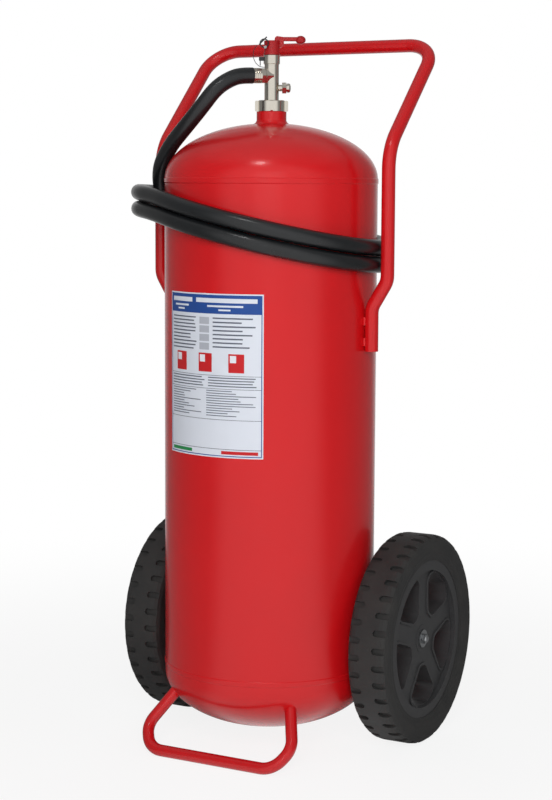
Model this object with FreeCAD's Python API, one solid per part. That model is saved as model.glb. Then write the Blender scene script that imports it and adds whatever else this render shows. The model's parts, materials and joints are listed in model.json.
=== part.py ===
"""Wheeled dry powder fire extinguisher of the 100 kg class, as separate pieces in millimetres.

The vessel stands upright on two wheels at the back and a tube loop at the front.
Front is -Y, right is +X, up is +Z, and the floor is Z = 0.
Pieces are drawn about the vessel's axis and moved back to the middle of the whole part at the end.
"""
import FreeCAD, Part
import math
import os

V = FreeCAD.Vector
X_AXIS = V(1, 0, 0)
Y_AXIS = V(0, 1, 0)
Z_AXIS = V(0, 0, 1)

# Vessel
VESSEL_R = 200.0
VESSEL_WALL = 3.0
DOME_RISE = 104.0
TOP_SKIRT = 3.0
BOTTOM_SKIRT = 17.0
POLE_R = 2.0
BOTTOM_SEAM_Z = 153.0
TOP_SEAM_Z = 1069.0
SEAM_WIDTH = 11.0
SEAM_PROUD = 1.2
SEAM_GAP = 4.0
LAP_LENGTH = 16.0
FIT_GAP = 0.05
POWDER_TOP_Z = 900.0

# Neck and ring nut
NECK_R = 28.0
NECK_BORE_R = 15.0
NECK_HEIGHT = 21.0
NECK_DEPTH = 24.0
NECK_WELD = 5.0
NECK_SPIGOT_R = 20.0
NECK_SPIGOT_H = 12.0
GASKET_T = 1.5
FLANGE_R = 19.5
FLANGE_T = 4.0
RING_NUT_R = 25.0
RING_NUT_LIP = 3.5
LUG_REACH = 31.0
LUG_WIDTH = 4.5
LUG_COUNT = 4

# Valve, drawn with its lever towards +X and then turned on its axis
VALVE_TURN = 30.0
BODY_R = 13.5
BODY_H = 68.5
SPIGOT_DROP = 20.0
CHAMBER_R = 9.0
SEAT_BORE_R = 5.0
SEAT_T = 8.0
UPPER_BORE_R = 7.0
SEAT_ABOVE_FLANGE = 31.0
SIPHON_R = 11.0
SIPHON_WALL = 2.0
SIPHON_FOOT_Z = 48.0
SIPHON_ENGAGE = 10.0
STEM_R = 3.0
STEM_CLEAR = 0.1
POPPET_R = 7.5
POPPET_T = 5.5
POPPET_SEAL_R = 7.0
POPPET_SEAL_T = 1.5
SPRING_WIRE = 1.3
SPRING_MEAN_R = 5.4
SPRING_TURNS = 5
SPRING_REST_T = 2.0
COLLAR_R = 15.3
COLLAR_H = 19.0
COLLAR_GROOVE = 1.6
STEM_SEAL_R = 6.0
STEM_SEAL_H = 3.6
CAP_R = 15.0
CAP_H = 26.0
CAP_FLOOR = 5.0
CAP_FILLET = 1.6
SLOT_HALF = 4.0
PIVOT_RISE = 15.0
PIVOT_R = 2.0
PIVOT_OVERHANG = 1.4
CAM_R = 7.0
CAM_OFFSET = 3.2
CAM_ANGLE = 140.0
CAM_LIFT_GAP = 0.3
LEVER_HALF = 3.8
LEVER_HOLE_GAP = 0.06
ARM_START = 12.0
ARM_END = 47.0
ARM_RISE = 14.0
ARM_HEIGHT = 7.8
KNOB_MIDDLE = 53.5
KNOB_HALF_LENGTH = 9.5
KNOB_R = 7.8
PIN_R = 1.5
PIN_HOLE_GAP = 0.08
PIN_LEFT = 12.2
PIN_DROP = 2.0
PIN_HEAD_R = 2.7
PIN_HEAD_T = 8.0
PIN_HEAD_GAP = 0.4
PULL_RING_R = 7.5
PULL_RING_WIRE = 1.2
PULL_RING_HOLE = 1.8
PULL_RING_LEAN = 15.8
PULL_RING_TAIL = 20.0
TAIL_ANGLE = 45.0
TAIL_ASIDE = 4.9
TETHER_R = 0.6
TETHER_LUG_W = 6.0
TETHER_LUG_H = 7.0
TETHER_LUG_REACH = 24.0
TETHER_LUG_RISE = 8.0
SEAL_WIRE_R = 0.8
SEAL_WIRE_DROP = 9.0

# Side port with its relief valve, and the outlet with the hose coupling
PORT_RISE = 26.5
PORT_R = 6.0
PORT_REACH = 19.5
PORT_BORE_R = 3.2
RELIEF_HEX = 20.0
RELIEF_HEX_T = 8.0
RELIEF_CAP_R = 8.6
RELIEF_CAP_T = 8.0
RELIEF_SPIGOT = 6.0
RELIEF_SLOT = 1.6
OUTLET_TURN = 200.0
OUTLET_RISE = 48.5
OUTLET_BOSS_HEX = 26.0
OUTLET_BOSS_END = 14.6
OUTLET_THREAD_R = 9.0
OUTLET_BORE_R = 6.5
OUTLET_THREAD_END = 30.0
NUT_START = 15.0
NUT_END = 23.0
NUT_HEX = 27.0
FERRULE_END = 38.0
FERRULE_R = 14.2
FERRULE_GROOVE = 1.0

# Hose
HOSE_R = 15.0
HOSE_BORE_R = 9.5
HOSE_CLEAR = 1.0
LEG_BULGE = 57.0
BULGE_HALF_TURN = 54.0

# Handle tube
TUBE_R = 12.5
TUBE_WALL = 2.0
LEG_OUT = 44.5
LEG_LOW_GAP = 1.0
LEG_END_Z = 758.0
S_BEND_LOW_Z = 838.0
S_BEND_HIGH_Z = 888.0
S_BEND_R = 35.0
SHOULDER_Z = 1128.0
SHOULDER_R = 90.0
BAR_Y = 200.0
BAR_Z = 1326.0
BAR_CORNER_R = 58.0
WELD_LENGTH = 15.0
WELD_R = 4.0
WELD_HEIGHTS = (768.0, 806.0)

# Foot loop
FOOT_R = 11.0
FOOT_Y = -220.0
FOOT_TOP = (124.0, -138.0, 104.5)
FOOT_SIDE_X = 156.0
FOOT_SIDE_UP = 46.0
FOOT_CORNER_X = 132.0
FOOT_BEND_R = 42.0

# Wheels
WHEEL_R = 200.0
WHEEL_W = 78.0
WHEEL_OUT = 86.0
AXLE_Y = 119.0
AXLE_R = 10.0
RUN_GAP = 0.05
BUSH_R = 13.0
TYRE_H = 49.0
TYRE_CROWN = 13.0
TYRE_SIDE_IN = 5.0
GROOVE_COUNT = 38
GROOVE_W = 12.0
GROOVE_LENGTH = 27.0
GROOVE_DEPTH = 6.0
RIM_LIP_IN = 7.0
RIM_LIP_T = 11.0
RIM_LIP_H = 19.0
RIM_WALL = 6.0
DISC_IN = 17.0
DISC_T = 9.0
WINDOW_COUNT = 5
WINDOW_TURN = 54.0
WINDOW_IN_R = 54.0
WINDOW_OUT_HALF = 26.5
WINDOW_IN_HALF = 12.0
WINDOW_CORNER_R = 15.0
WINDOW_BEAD = 2.5
WEB_T = 4.0
WEB_DEPTH = 34.0
HUB_R = 27.0
HUB_IN = 16.0
HUB_LENGTH = 54.0
HUB_PLAY = 0.3
WASHER_R = 17.0
WASHER_T = 2.5
BOLT_HEX = 17.0
BOLT_HEAD_T = 6.0
BOLT_DOME_R = 7.6
BOLT_DOME_T = 3.5
BOLT_SHANK_R = 5.0
BOLT_SHANK_L = 25.0

# Axle brackets
PAD_T = 5.0
PAD_LOW_Z = 164.0
PAD_HIGH_Z = 250.0
PAD_HALF_TURN = 12.0
SLEEVE_R = 17.0
SLEEVE_OUT = 6.0
GUSSET_T = 6.0
GUSSET_H = 26.0

# Label plate
LABEL_TURN = -94.8
LABEL_ARC = 61.6
LABEL_LOW_Z = 570.0
LABEL_HIGH_Z = 867.0
LABEL_T = 0.6
LABEL_GAP = 0.1

# Discharge gun, drawn with its lever towards +X and then turned and moved to its holder
GUN_BEARING = 115.948
GUN_CLEAR = 49.112
GUN_TOP_Z = 745.0
GUN_FERRULE_L = 40.0
GUN_FERRULE_R = 17.2
GUN_HEX = 30.0
GUN_HEX_T = 15.0
GUN_BODY_R = 19.0
GUN_BODY_L = 92.0
GUN_NECK_R = 14.0
GUN_NECK_L = 24.0
GUN_BORE_R = 8.0
EAR_IN = 6.0
EAR_OUT = 10.0
EAR_DROP = 24.0
EAR_REACH = 25.0
EAR_R = 7.0
LEVER_PIN_R = 2.5
GUN_LEVER_L = 96.0
GUN_LEVER_T = 4.0
GUN_LEVER_HALF = 8.0
GUN_LEVER_OUT = 31.0
NOZZLE_L = 145.0
NOZZLE_WAIST_R = 9.5
NOZZLE_MOUTH_R = 12.5
NOZZLE_MOUTH_BORE = 9.0
NOZZLE_MOUTH_L = 24.0
NOZZLE_THROAT_R = 5.0
CLIP_T = 3.0
CLIP_H = 30.0
CLIP_GAP = 0.3
CLIP_OPEN = 55.0
CLIP_DROP = 95.0
REST_H = 18.0
REST_DROP = 272.0
STRAP_HALF = 12.0
STRAP_SINK = 6.0

# Levels that follow from the sizes above
FRONT_REACH = -FOOT_Y + FOOT_R
BACK_REACH = AXLE_Y + WHEEL_R
Y_MIDDLE = (BACK_REACH - FRONT_REACH) / 2
TOP_EQUATOR_Z = TOP_SEAM_Z + TOP_SKIRT
BOTTOM_EQUATOR_Z = BOTTOM_SEAM_Z - BOTTOM_SKIRT
NECK_TOP_Z = TOP_EQUATOR_Z + DOME_RISE + NECK_HEIGHT
FLANGE_Z = NECK_TOP_Z + NECK_SPIGOT_H + GASKET_T
FLANGE_TOP_Z = FLANGE_Z + FLANGE_T
BODY_TOP_Z = FLANGE_TOP_Z + BODY_H
SEAT_Z = FLANGE_TOP_Z + SEAT_ABOVE_FLANGE
COLLAR_TOP_Z = BODY_TOP_Z + COLLAR_H
CAP_TOP_Z = COLLAR_TOP_Z + CAP_H
SLOT_FLOOR_Z = COLLAR_TOP_Z + CAP_FLOOR
PIVOT_Z = COLLAR_TOP_Z + PIVOT_RISE
LEG_LOW_X = VESSEL_R + LEG_LOW_GAP + TUBE_R
GUN_X = (VESSEL_R + GUN_CLEAR) * math.cos(math.radians(GUN_BEARING))
GUN_Y = (VESSEL_R + GUN_CLEAR) * math.sin(math.radians(GUN_BEARING))
AXLE_Z = WHEEL_R
WHEEL_FACE_X = VESSEL_R + WHEEL_OUT
SLEEVE_END_X = VESSEL_R + SLEEVE_OUT
LEG_X = VESSEL_R + LEG_OUT
HOSE_LIE = VESSEL_R + HOSE_R + HOSE_CLEAR
TYRE_BORE_R = WHEEL_R - TYRE_H
TYRE_SHOULDER_R = WHEEL_R - TYRE_CROWN
RIM_LIP_R = TYRE_BORE_R - RIM_LIP_H
WINDOW_OUT_R = RIM_LIP_R - 3.0


def turned(shape, degrees, axis=Z_AXIS, base=V(0, 0, 0)):
    copy = shape.copy()
    copy.rotate(base, axis, degrees)
    return copy


def moved(shape, x, y, z):
    copy = shape.copy()
    copy.translate(V(x, y, z))
    return copy


def joined(shapes):
    whole = shapes[0]
    for shape in shapes[1:]:
        whole = whole.fuse(shape)
    return whole.removeSplitter()


def ring(outer_r, inner_r, low, high, axis=Z_AXIS, base=V(0, 0, 0)):
    start = base + axis * low
    outer = Part.makeCylinder(outer_r, high - low, start, axis)
    if inner_r <= 0:
        return outer
    reach = 1.0
    inner = Part.makeCylinder(inner_r, high - low + 2 * reach, start - axis * reach, axis)
    return outer.cut(inner)


def turned_profile(points):
    """A solid of revolution about Z from (radius, height) corners."""
    corners = [V(r, 0, z) for r, z in points]
    face = Part.Face(Part.makePolygon(corners + [corners[0]]))
    return face.revolve(V(0, 0, 0), Z_AXIS, 360)


def prism(across_flats, low, high):
    """A hexagonal bar along Z with its flats' distance given."""
    corner_r = across_flats / math.sqrt(3)
    corners = []
    for i in range(7):
        angle = math.radians(60 * i + 30)
        corners.append(V(corner_r * math.cos(angle), corner_r * math.sin(angle), low))
    bar = Part.Face(Part.makePolygon(corners)).extrude(V(0, 0, high - low))
    chamfer = across_flats * 0.045
    barrel = turned_profile([(0, low), (across_flats / 2, low), (corner_r, low + chamfer),
                             (corner_r, high - chamfer), (across_flats / 2, high), (0, high)])
    return bar.common(barrel)


def box(x0, x1, y0, y1, z0, z1):
    return Part.makeBox(x1 - x0, y1 - y0, z1 - z0, V(x0, y0, z0))


def corner_arc(a, corner, b):
    """The arc that leaves a and reaches b, tangent to both runs that meet in the corner."""
    middle = (a + b) * 0.5
    rise = (corner - middle).Length
    half_chord = (a - middle).Length
    sag = half_chord * rise / ((a - corner).Length + half_chord)
    return Part.Arc(a, middle + (corner - middle).normalize() * sag, b)


def bent_path(points, radii):
    """Straight runs joined by tangent arcs, one radius for each inner point."""
    edges = []
    start = points[0]
    for i, radius in enumerate(radii):
        before, corner, after = points[i], points[i + 1], points[i + 2]
        back = (before - corner).normalize()
        ahead = (after - corner).normalize()
        half_turn = (math.pi - back.getAngle(ahead)) / 2
        reach = radius * math.tan(half_turn)
        a = corner + back * reach
        b = corner + ahead * reach
        if (a - start).Length > 1e-6:
            edges.append(Part.LineSegment(start, a).toShape())
        edges.append(corner_arc(a, corner, b).toShape())
        start = b
    if (points[-1] - start).Length > 1e-6:
        edges.append(Part.LineSegment(start, points[-1]).toShape())
    return Part.Wire(edges)


def swept(path, radius):
    """A round bar along a path."""
    first = path.OrderedEdges[0]
    start = first.valueAt(first.FirstParameter)
    direction = first.tangentAt(first.FirstParameter)
    section = Part.Wire(Part.Circle(start, direction, radius).toShape())
    shell = Part.BRepOffsetAPI.MakePipeShell(path)
    shell.add(section)
    shell.build()
    shell.makeSolid()
    return shell.shape()


def bent_tube(points, radii, outer_r, inner_r):
    path = bent_path(points, radii)
    outer = swept(path, outer_r)
    if inner_r <= 0:
        return outer
    return outer.cut(swept(path, inner_r))


def run_radii(points):
    """Each arc as large as its two runs allow: 0.45 of the shorter run over the tangent."""
    radii = []
    for before, corner, after in zip(points, points[1:], points[2:]):
        shorter = min((corner - before).Length, (after - corner).Length)
        turn = math.pi - (before - corner).getAngle(after - corner)
        radii.append(0.45 * shorter / math.tan(turn / 2))
    return radii


def hose_on(path, name):
    """A hose along a path: outer surface and bore, with its volume checked against its length."""
    outer = swept(path, HOSE_R)
    expected = math.pi * HOSE_R ** 2 * path.Length
    print(f"{name}: length {path.Length:.0f} mm, volume ratio {outer.Volume / expected:.4f}")
    return outer.cut(swept(path, HOSE_BORE_R))


def dome(equator_z, seam_z, sign):
    """Half an ellipse turned about the axis, as a shell with a joggled skirt that laps into the barrel."""
    inner_r = VESSEL_R - VESSEL_WALL
    inner_rise = DOME_RISE - VESSEL_WALL
    skirt_end = seam_z + sign * SEAM_GAP / 2
    lap_end = skirt_end - sign * (SEAM_GAP + LAP_LENGTH)
    lap_r = inner_r - FIT_GAP

    def half_ellipse(a, b):
        full = Part.Ellipse(V(0, 0, 0), a, b)
        quarter = full.toShape(0, math.acos(POLE_R / a))
        flat = turned(quarter, 90, X_AXIS)
        if sign < 0:
            flat = turned(flat, 180, X_AXIS)
        return moved(flat, 0, 0, equator_z)

    def pole_z(a, b):
        return equator_z + sign * b * math.sin(math.acos(POLE_R / a))

    outside = half_ellipse(VESSEL_R, DOME_RISE)
    inside = half_ellipse(inner_r, inner_rise)
    # Both surfaces end in a small flat at the pole, which keeps the solid sound on its axis
    pole = [V(POLE_R, 0, pole_z(VESSEL_R, DOME_RISE)), V(0, 0, pole_z(VESSEL_R, DOME_RISE)),
            V(0, 0, pole_z(inner_r, inner_rise)), V(POLE_R, 0, pole_z(inner_r, inner_rise))]
    skirt = [V(VESSEL_R, 0, equator_z), V(VESSEL_R, 0, skirt_end), V(lap_r, 0, skirt_end),
             V(lap_r, 0, lap_end), V(lap_r - VESSEL_WALL, 0, lap_end),
             V(lap_r - VESSEL_WALL, 0, skirt_end), V(inner_r, 0, equator_z)]
    edges = [outside, inside]
    for corners in (skirt, pole):
        for a, b in zip(corners, corners[1:]):
            edges.append(Part.makeLine(a, b))
    wire = Part.Wire(Part.__sortEdges__(edges))
    shell = Part.Face(wire).revolve(V(0, 0, 0), Z_AXIS, 360)
    if shell.Volume < 0:
        shell.reverse()
    return shell


def seam(middle_z):
    """A weld that fills the groove between barrel and dome and stands a little proud."""
    deep = VESSEL_R - VESSEL_WALL + FIT_GAP
    half = SEAM_WIDTH / 2
    soft = SEAM_WIDTH / 5
    return turned_profile([(deep, middle_z - SEAM_GAP / 2), (VESSEL_R, middle_z - SEAM_GAP / 2),
                           (VESSEL_R, middle_z - half), (VESSEL_R + SEAM_PROUD * 0.7, middle_z - half + soft / 2),
                           (VESSEL_R + SEAM_PROUD, middle_z - half + soft),
                           (VESSEL_R + SEAM_PROUD, middle_z + half - soft),
                           (VESSEL_R + SEAM_PROUD * 0.7, middle_z + half - soft / 2),
                           (VESSEL_R, middle_z + half), (VESSEL_R, middle_z + SEAM_GAP / 2),
                           (deep, middle_z + SEAM_GAP / 2)])


def make_vessel():
    inner_r = VESSEL_R - VESSEL_WALL
    barrel = ring(VESSEL_R, inner_r, BOTTOM_SEAM_Z + SEAM_GAP / 2, TOP_SEAM_Z - SEAM_GAP / 2)
    dome_top_z = TOP_EQUATOR_Z + DOME_RISE
    neck_low_z = dome_top_z - NECK_DEPTH
    top = dome(TOP_EQUATOR_Z, TOP_SEAM_Z, 1).cut(ring(NECK_R, 0, neck_low_z, NECK_TOP_Z))
    bottom = dome(BOTTOM_EQUATOR_Z, BOTTOM_SEAM_Z, -1)
    # The boss is let into the dome and welded round with a small cove
    neck = turned_profile([(NECK_BORE_R, neck_low_z), (NECK_R, neck_low_z), (NECK_R, NECK_TOP_Z),
                           (NECK_SPIGOT_R, NECK_TOP_Z), (NECK_SPIGOT_R, NECK_TOP_Z + NECK_SPIGOT_H),
                           (NECK_BORE_R, NECK_TOP_Z + NECK_SPIGOT_H)])
    weld_z = dome_top_z - DOME_RISE * (1 - math.sqrt(1 - ((NECK_R + NECK_WELD) / VESSEL_R) ** 2))
    weld = turned_profile([(NECK_R, weld_z - 1.0), (NECK_R + NECK_WELD, weld_z),
                           (NECK_R + NECK_WELD * 0.4, weld_z + NECK_WELD * 0.5),
                           (NECK_R, weld_z + NECK_WELD * 1.2)]).cut(top)
    gasket = ring(FLANGE_R, NECK_BORE_R + 1.0, NECK_TOP_Z + NECK_SPIGOT_H, FLANGE_Z)
    powder_r = inner_r - 1.0
    powder = Part.makeCylinder(powder_r, POWDER_TOP_Z - BOTTOM_SEAM_Z, V(0, 0, BOTTOM_SEAM_Z))
    powder = powder.cut(bottom).cut(ring(SIPHON_R + 0.3, 0, 0, POWDER_TOP_Z + 1))
    return {"vessel_barrel": barrel, "vessel_top_dome": top, "vessel_bottom_dome": bottom,
            "seam_welds": Part.makeCompound([seam(BOTTOM_SEAM_Z), seam(TOP_SEAM_Z)]),
            "neck_boss": neck, "neck_weld": weld, "neck_gasket": gasket, "powder_charge": powder}


def make_label():
    """A thin plate that follows the barrel."""
    inner_r = VESSEL_R + LABEL_GAP
    band = ring(inner_r + LABEL_T, inner_r, LABEL_LOW_Z, LABEL_HIGH_Z)
    wedge_r = VESSEL_R * 1.4
    half = math.radians(LABEL_ARC / 2)
    corners = [V(0, 0, LABEL_LOW_Z), V(wedge_r * math.cos(half), -wedge_r * math.sin(half), LABEL_LOW_Z),
               V(wedge_r * math.cos(half), wedge_r * math.sin(half), LABEL_LOW_Z)]
    wedge = Part.Face(Part.makePolygon(corners + [corners[0]])).extrude(V(0, 0, LABEL_HIGH_Z - LABEL_LOW_Z))
    return {"label_plate": turned(band.common(wedge), LABEL_TURN)}


def make_ring_nut():
    """Ring nut that clamps the valve's flange on the neck, with lugs for a hook spanner."""
    top_z = FLANGE_TOP_Z + RING_NUT_LIP
    nut = ring(RING_NUT_R, NECK_SPIGOT_R + FIT_GAP, NECK_TOP_Z, FLANGE_TOP_Z)
    lip = ring(RING_NUT_R, BODY_R + FIT_GAP, FLANGE_TOP_Z, top_z)
    body = nut.fuse(lip).removeSplitter()
    edges = [edge for edge in body.Edges if edge.Closed and edge.Curve.Radius > RING_NUT_R - 0.1]
    body = body.makeChamfer(1.0, edges)
    lug = box(RING_NUT_R - 1.5, LUG_REACH, -LUG_WIDTH / 2, LUG_WIDTH / 2, NECK_TOP_Z + 0.5, top_z - 0.5)
    outer_edges = []
    for edge in lug.Edges:
        flat = abs(edge.tangentAt(edge.FirstParameter).y) > 0.9
        if flat and edge.CenterOfMass.x > LUG_REACH - 0.1:
            outer_edges.append(edge)
    lug = lug.makeFillet(2.5, outer_edges)
    for i in range(LUG_COUNT):
        body = body.fuse(turned(lug, 360.0 * i / LUG_COUNT))
    return {"ring_nut": body.removeSplitter()}


def along_outlet(shape):
    """Lay a shape that was drawn along Z onto the outlet's axis."""
    laid = turned(shape, 90, Y_AXIS)
    return moved(turned(laid, OUTLET_TURN), 0, 0, FLANGE_TOP_Z + OUTLET_RISE)


def along_port(shape):
    """Lay a shape that was drawn along Z onto the side port's axis."""
    return moved(turned(shape, 90, Y_AXIS), 0, 0, FLANGE_TOP_Z + PORT_RISE)


def make_valve_body():
    body = turned_profile([(0, FLANGE_Z - SPIGOT_DROP), (NECK_BORE_R - 0.3, FLANGE_Z - SPIGOT_DROP),
                           (NECK_BORE_R - 0.3, FLANGE_Z), (FLANGE_R, FLANGE_Z), (FLANGE_R, FLANGE_TOP_Z),
                           (BODY_R, FLANGE_TOP_Z), (BODY_R, BODY_TOP_Z), (0, BODY_TOP_Z)])
    boss = along_outlet(prism(OUTLET_BOSS_HEX, 0, OUTLET_BOSS_END))
    thread = along_outlet(ring(OUTLET_THREAD_R, 0, 0, OUTLET_THREAD_END))
    port = along_port(ring(PORT_R, 0, 0, PORT_REACH))
    body = joined([body, boss, thread, port])
    spigot_z = FLANGE_Z - SPIGOT_DROP
    bores = [ring(SIPHON_R + FIT_GAP, 0, spigot_z - 1, spigot_z + SIPHON_ENGAGE),
             ring(CHAMBER_R, 0, spigot_z, SEAT_Z),
             ring(SEAT_BORE_R, 0, SEAT_Z - 1, SEAT_Z + SEAT_T + 1),
             ring(UPPER_BORE_R, 0, SEAT_Z + SEAT_T, BODY_TOP_Z - 6),
             ring(STEM_R + STEM_CLEAR, 0, SEAT_Z, BODY_TOP_Z + 1),
             along_outlet(ring(OUTLET_BORE_R, 0, 0, OUTLET_THREAD_END + 1)),
             along_port(ring(PORT_BORE_R, 0, 4, PORT_REACH + 1))]
    for bore in bores:
        body = body.cut(bore)
    return body


def make_spring(low_z, high_z):
    """A closed coil drawn as a round wire on a helix."""
    height = high_z - low_z - SPRING_WIRE
    helix = Part.makeHelix(height / SPRING_TURNS, height, SPRING_MEAN_R)
    helix.translate(V(0, 0, low_z + SPRING_WIRE / 2))
    return swept(Part.Wire(helix.Edges), SPRING_WIRE / 2)


def make_valve_inside():
    spigot_z = FLANGE_Z - SPIGOT_DROP
    siphon = ring(SIPHON_R, SIPHON_R - SIPHON_WALL, SIPHON_FOOT_Z, spigot_z + SIPHON_ENGAGE)
    slant = turned(box(-40, 40, -40, 40, -60, 0), 30, X_AXIS)
    siphon = siphon.cut(moved(slant, 0, 0, SIPHON_FOOT_Z + 6))
    rest_low_z = FLANGE_TOP_Z + 3.0
    rest = ring(CHAMBER_R - FIT_GAP, SEAT_BORE_R, rest_low_z, rest_low_z + SPRING_REST_T)
    poppet_z = SEAT_Z - POPPET_SEAL_T - POPPET_T
    stem_top_z = PIVOT_Z + CAM_OFFSET * math.sin(math.radians(CAM_ANGLE)) - CAM_R - CAM_LIFT_GAP
    stem = turned_profile([(0, poppet_z - 3), (SPRING_MEAN_R - SPRING_WIRE, poppet_z - 3),
                           (SPRING_MEAN_R - SPRING_WIRE, poppet_z), (POPPET_R, poppet_z),
                           (POPPET_R, poppet_z + POPPET_T), (STEM_R, poppet_z + POPPET_T),
                           (STEM_R, stem_top_z), (0, stem_top_z)])
    poppet_seal = ring(POPPET_SEAL_R, STEM_R, poppet_z + POPPET_T, SEAT_Z)
    return {"siphon_tube": siphon, "spring_rest": rest, "valve_stem": stem, "poppet_seal": poppet_seal,
            "stem_spring": make_spring(rest_low_z + SPRING_REST_T, poppet_z)}


def make_collar():
    """Nickelled bonnet with the stem's gland inside."""
    neck_r = COLLAR_R - 1.6
    collar = turned_profile([(0, BODY_TOP_Z), (neck_r, BODY_TOP_Z), (neck_r, BODY_TOP_Z + COLLAR_GROOVE),
                             (COLLAR_R - 0.8, BODY_TOP_Z + COLLAR_GROOVE),
                             (COLLAR_R, BODY_TOP_Z + COLLAR_GROOVE + 0.8),
                             (COLLAR_R, COLLAR_TOP_Z - 1.2), (COLLAR_R - 1.2, COLLAR_TOP_Z), (0, COLLAR_TOP_Z)])
    collar = collar.cut(ring(STEM_R + STEM_CLEAR, 0, BODY_TOP_Z - 1, COLLAR_TOP_Z + 1))
    collar = collar.cut(ring(STEM_SEAL_R + FIT_GAP, 0, BODY_TOP_Z - 1, BODY_TOP_Z + STEM_SEAL_H + 0.1))
    seal = ring(STEM_SEAL_R, STEM_R + FIT_GAP, BODY_TOP_Z, BODY_TOP_Z + STEM_SEAL_H)
    lug_z = BODY_TOP_Z + TETHER_LUG_RISE
    half = TETHER_LUG_W / 2
    lug = box(-TETHER_LUG_REACH, -COLLAR_R + 2, -half, half, lug_z, lug_z + TETHER_LUG_H)
    lug = lug.makeFillet(1.5, [edge for edge in lug.Edges if edge.CenterOfMass.x < -TETHER_LUG_REACH + 0.1])
    wire = ring(SEAL_WIRE_R, 0, lug_z - SEAL_WIRE_DROP, lug_z + 1, Z_AXIS, V(-TETHER_LUG_REACH + 2.5, 0, 0))
    lug = joined([lug, wire]).cut(ring(COLLAR_R, 0, BODY_TOP_Z - 5, COLLAR_TOP_Z + 5))
    return {"valve_collar": collar, "stem_seal": seal, "tether_lug": lug}


def make_cap():
    """Red cap: two cheeks that carry the lever's pivot and the safety pin."""
    cap = ring(CAP_R, 0, COLLAR_TOP_Z, CAP_TOP_Z)
    cap = cap.makeFillet(CAP_FILLET, [edge for edge in cap.Edges if edge.CenterOfMass.z > CAP_TOP_Z - 0.1])
    reach = CAP_R + 1
    cap = cap.cut(box(-reach, reach, -SLOT_HALF, SLOT_HALF, SLOT_FLOOR_Z, CAP_TOP_Z + 1))
    cap = cap.cut(ring(STEM_R + STEM_CLEAR, 0, COLLAR_TOP_Z - 1, SLOT_FLOOR_Z + 1))
    pivot_base = V(0, 0, PIVOT_Z)
    cap = cap.cut(ring(PIVOT_R + 0.02, 0, -reach, reach, Y_AXIS, pivot_base))
    pin_base = V(-PIN_LEFT, 0, PIVOT_Z - PIN_DROP)
    cap = cap.cut(ring(PIN_R + PIN_HOLE_GAP, 0, -reach, reach, Y_AXIS, pin_base))
    head = CAP_R + PIVOT_OVERHANG
    pivot = ring(PIVOT_R, 0, -CAP_R - 0.1, CAP_R + 0.1, Y_AXIS, pivot_base)
    for side in (-1, 1):
        disc = ring(PIVOT_R + 1.2, 0, CAP_R + 0.1, head, Y_AXIS * side, pivot_base)
        pivot = pivot.fuse(disc)
    return {"valve_cap": cap, "lever_pivot_pin": pivot.removeSplitter()}


def make_lever():
    """Cast lever: a cam on the pivot, a cranked arm and an egg-shaped knob."""
    cam_x = CAM_OFFSET * math.cos(math.radians(CAM_ANGLE))
    cam_z = PIVOT_Z + CAM_OFFSET * math.sin(math.radians(CAM_ANGLE))
    cam = ring(CAM_R, 0, -LEVER_HALF, LEVER_HALF, Y_AXIS, V(cam_x, 0, cam_z))
    outline = [(0, -4), (18, -1), (22.5, 4), (22.5, 12), (20, 18), (9, 19.5), (6, 17), (4, 9), (-4, 6.5)]
    corners = [V(x, -LEVER_HALF, PIVOT_Z + z) for x, z in outline]
    crank = Part.Face(Part.makePolygon(corners + [corners[0]])).extrude(V(0, 2 * LEVER_HALF, 0))
    arm_z = PIVOT_Z + ARM_RISE
    half = ARM_HEIGHT / 2
    arm = box(ARM_START, ARM_END, -LEVER_HALF, LEVER_HALF, arm_z - half, arm_z + half)
    arm = arm.makeFillet(2.0, [edge for edge in arm.Edges if edge.Length > ARM_END - ARM_START - 1])
    knob_arc = Part.Ellipse(V(KNOB_MIDDLE, 0, arm_z - 1.5), KNOB_HALF_LENGTH, KNOB_R)
    half_outline = turned(knob_arc.toShape(0, math.pi), 90, X_AXIS, V(KNOB_MIDDLE, 0, arm_z - 1.5))
    ends = [half_outline.valueAt(half_outline.FirstParameter), half_outline.valueAt(half_outline.LastParameter)]
    half_face = Part.Face(Part.Wire([half_outline, Part.makeLine(ends[1], ends[0])]))
    knob = half_face.revolve(V(0, 0, arm_z - 1.5), X_AXIS, 360)
    lever = joined([cam, crank, arm, knob])
    hole = ring(PIVOT_R + LEVER_HOLE_GAP, 0, -CAP_R, CAP_R, Y_AXIS, V(0, 0, PIVOT_Z))
    return {"valve_lever": lever.cut(hole)}


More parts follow.
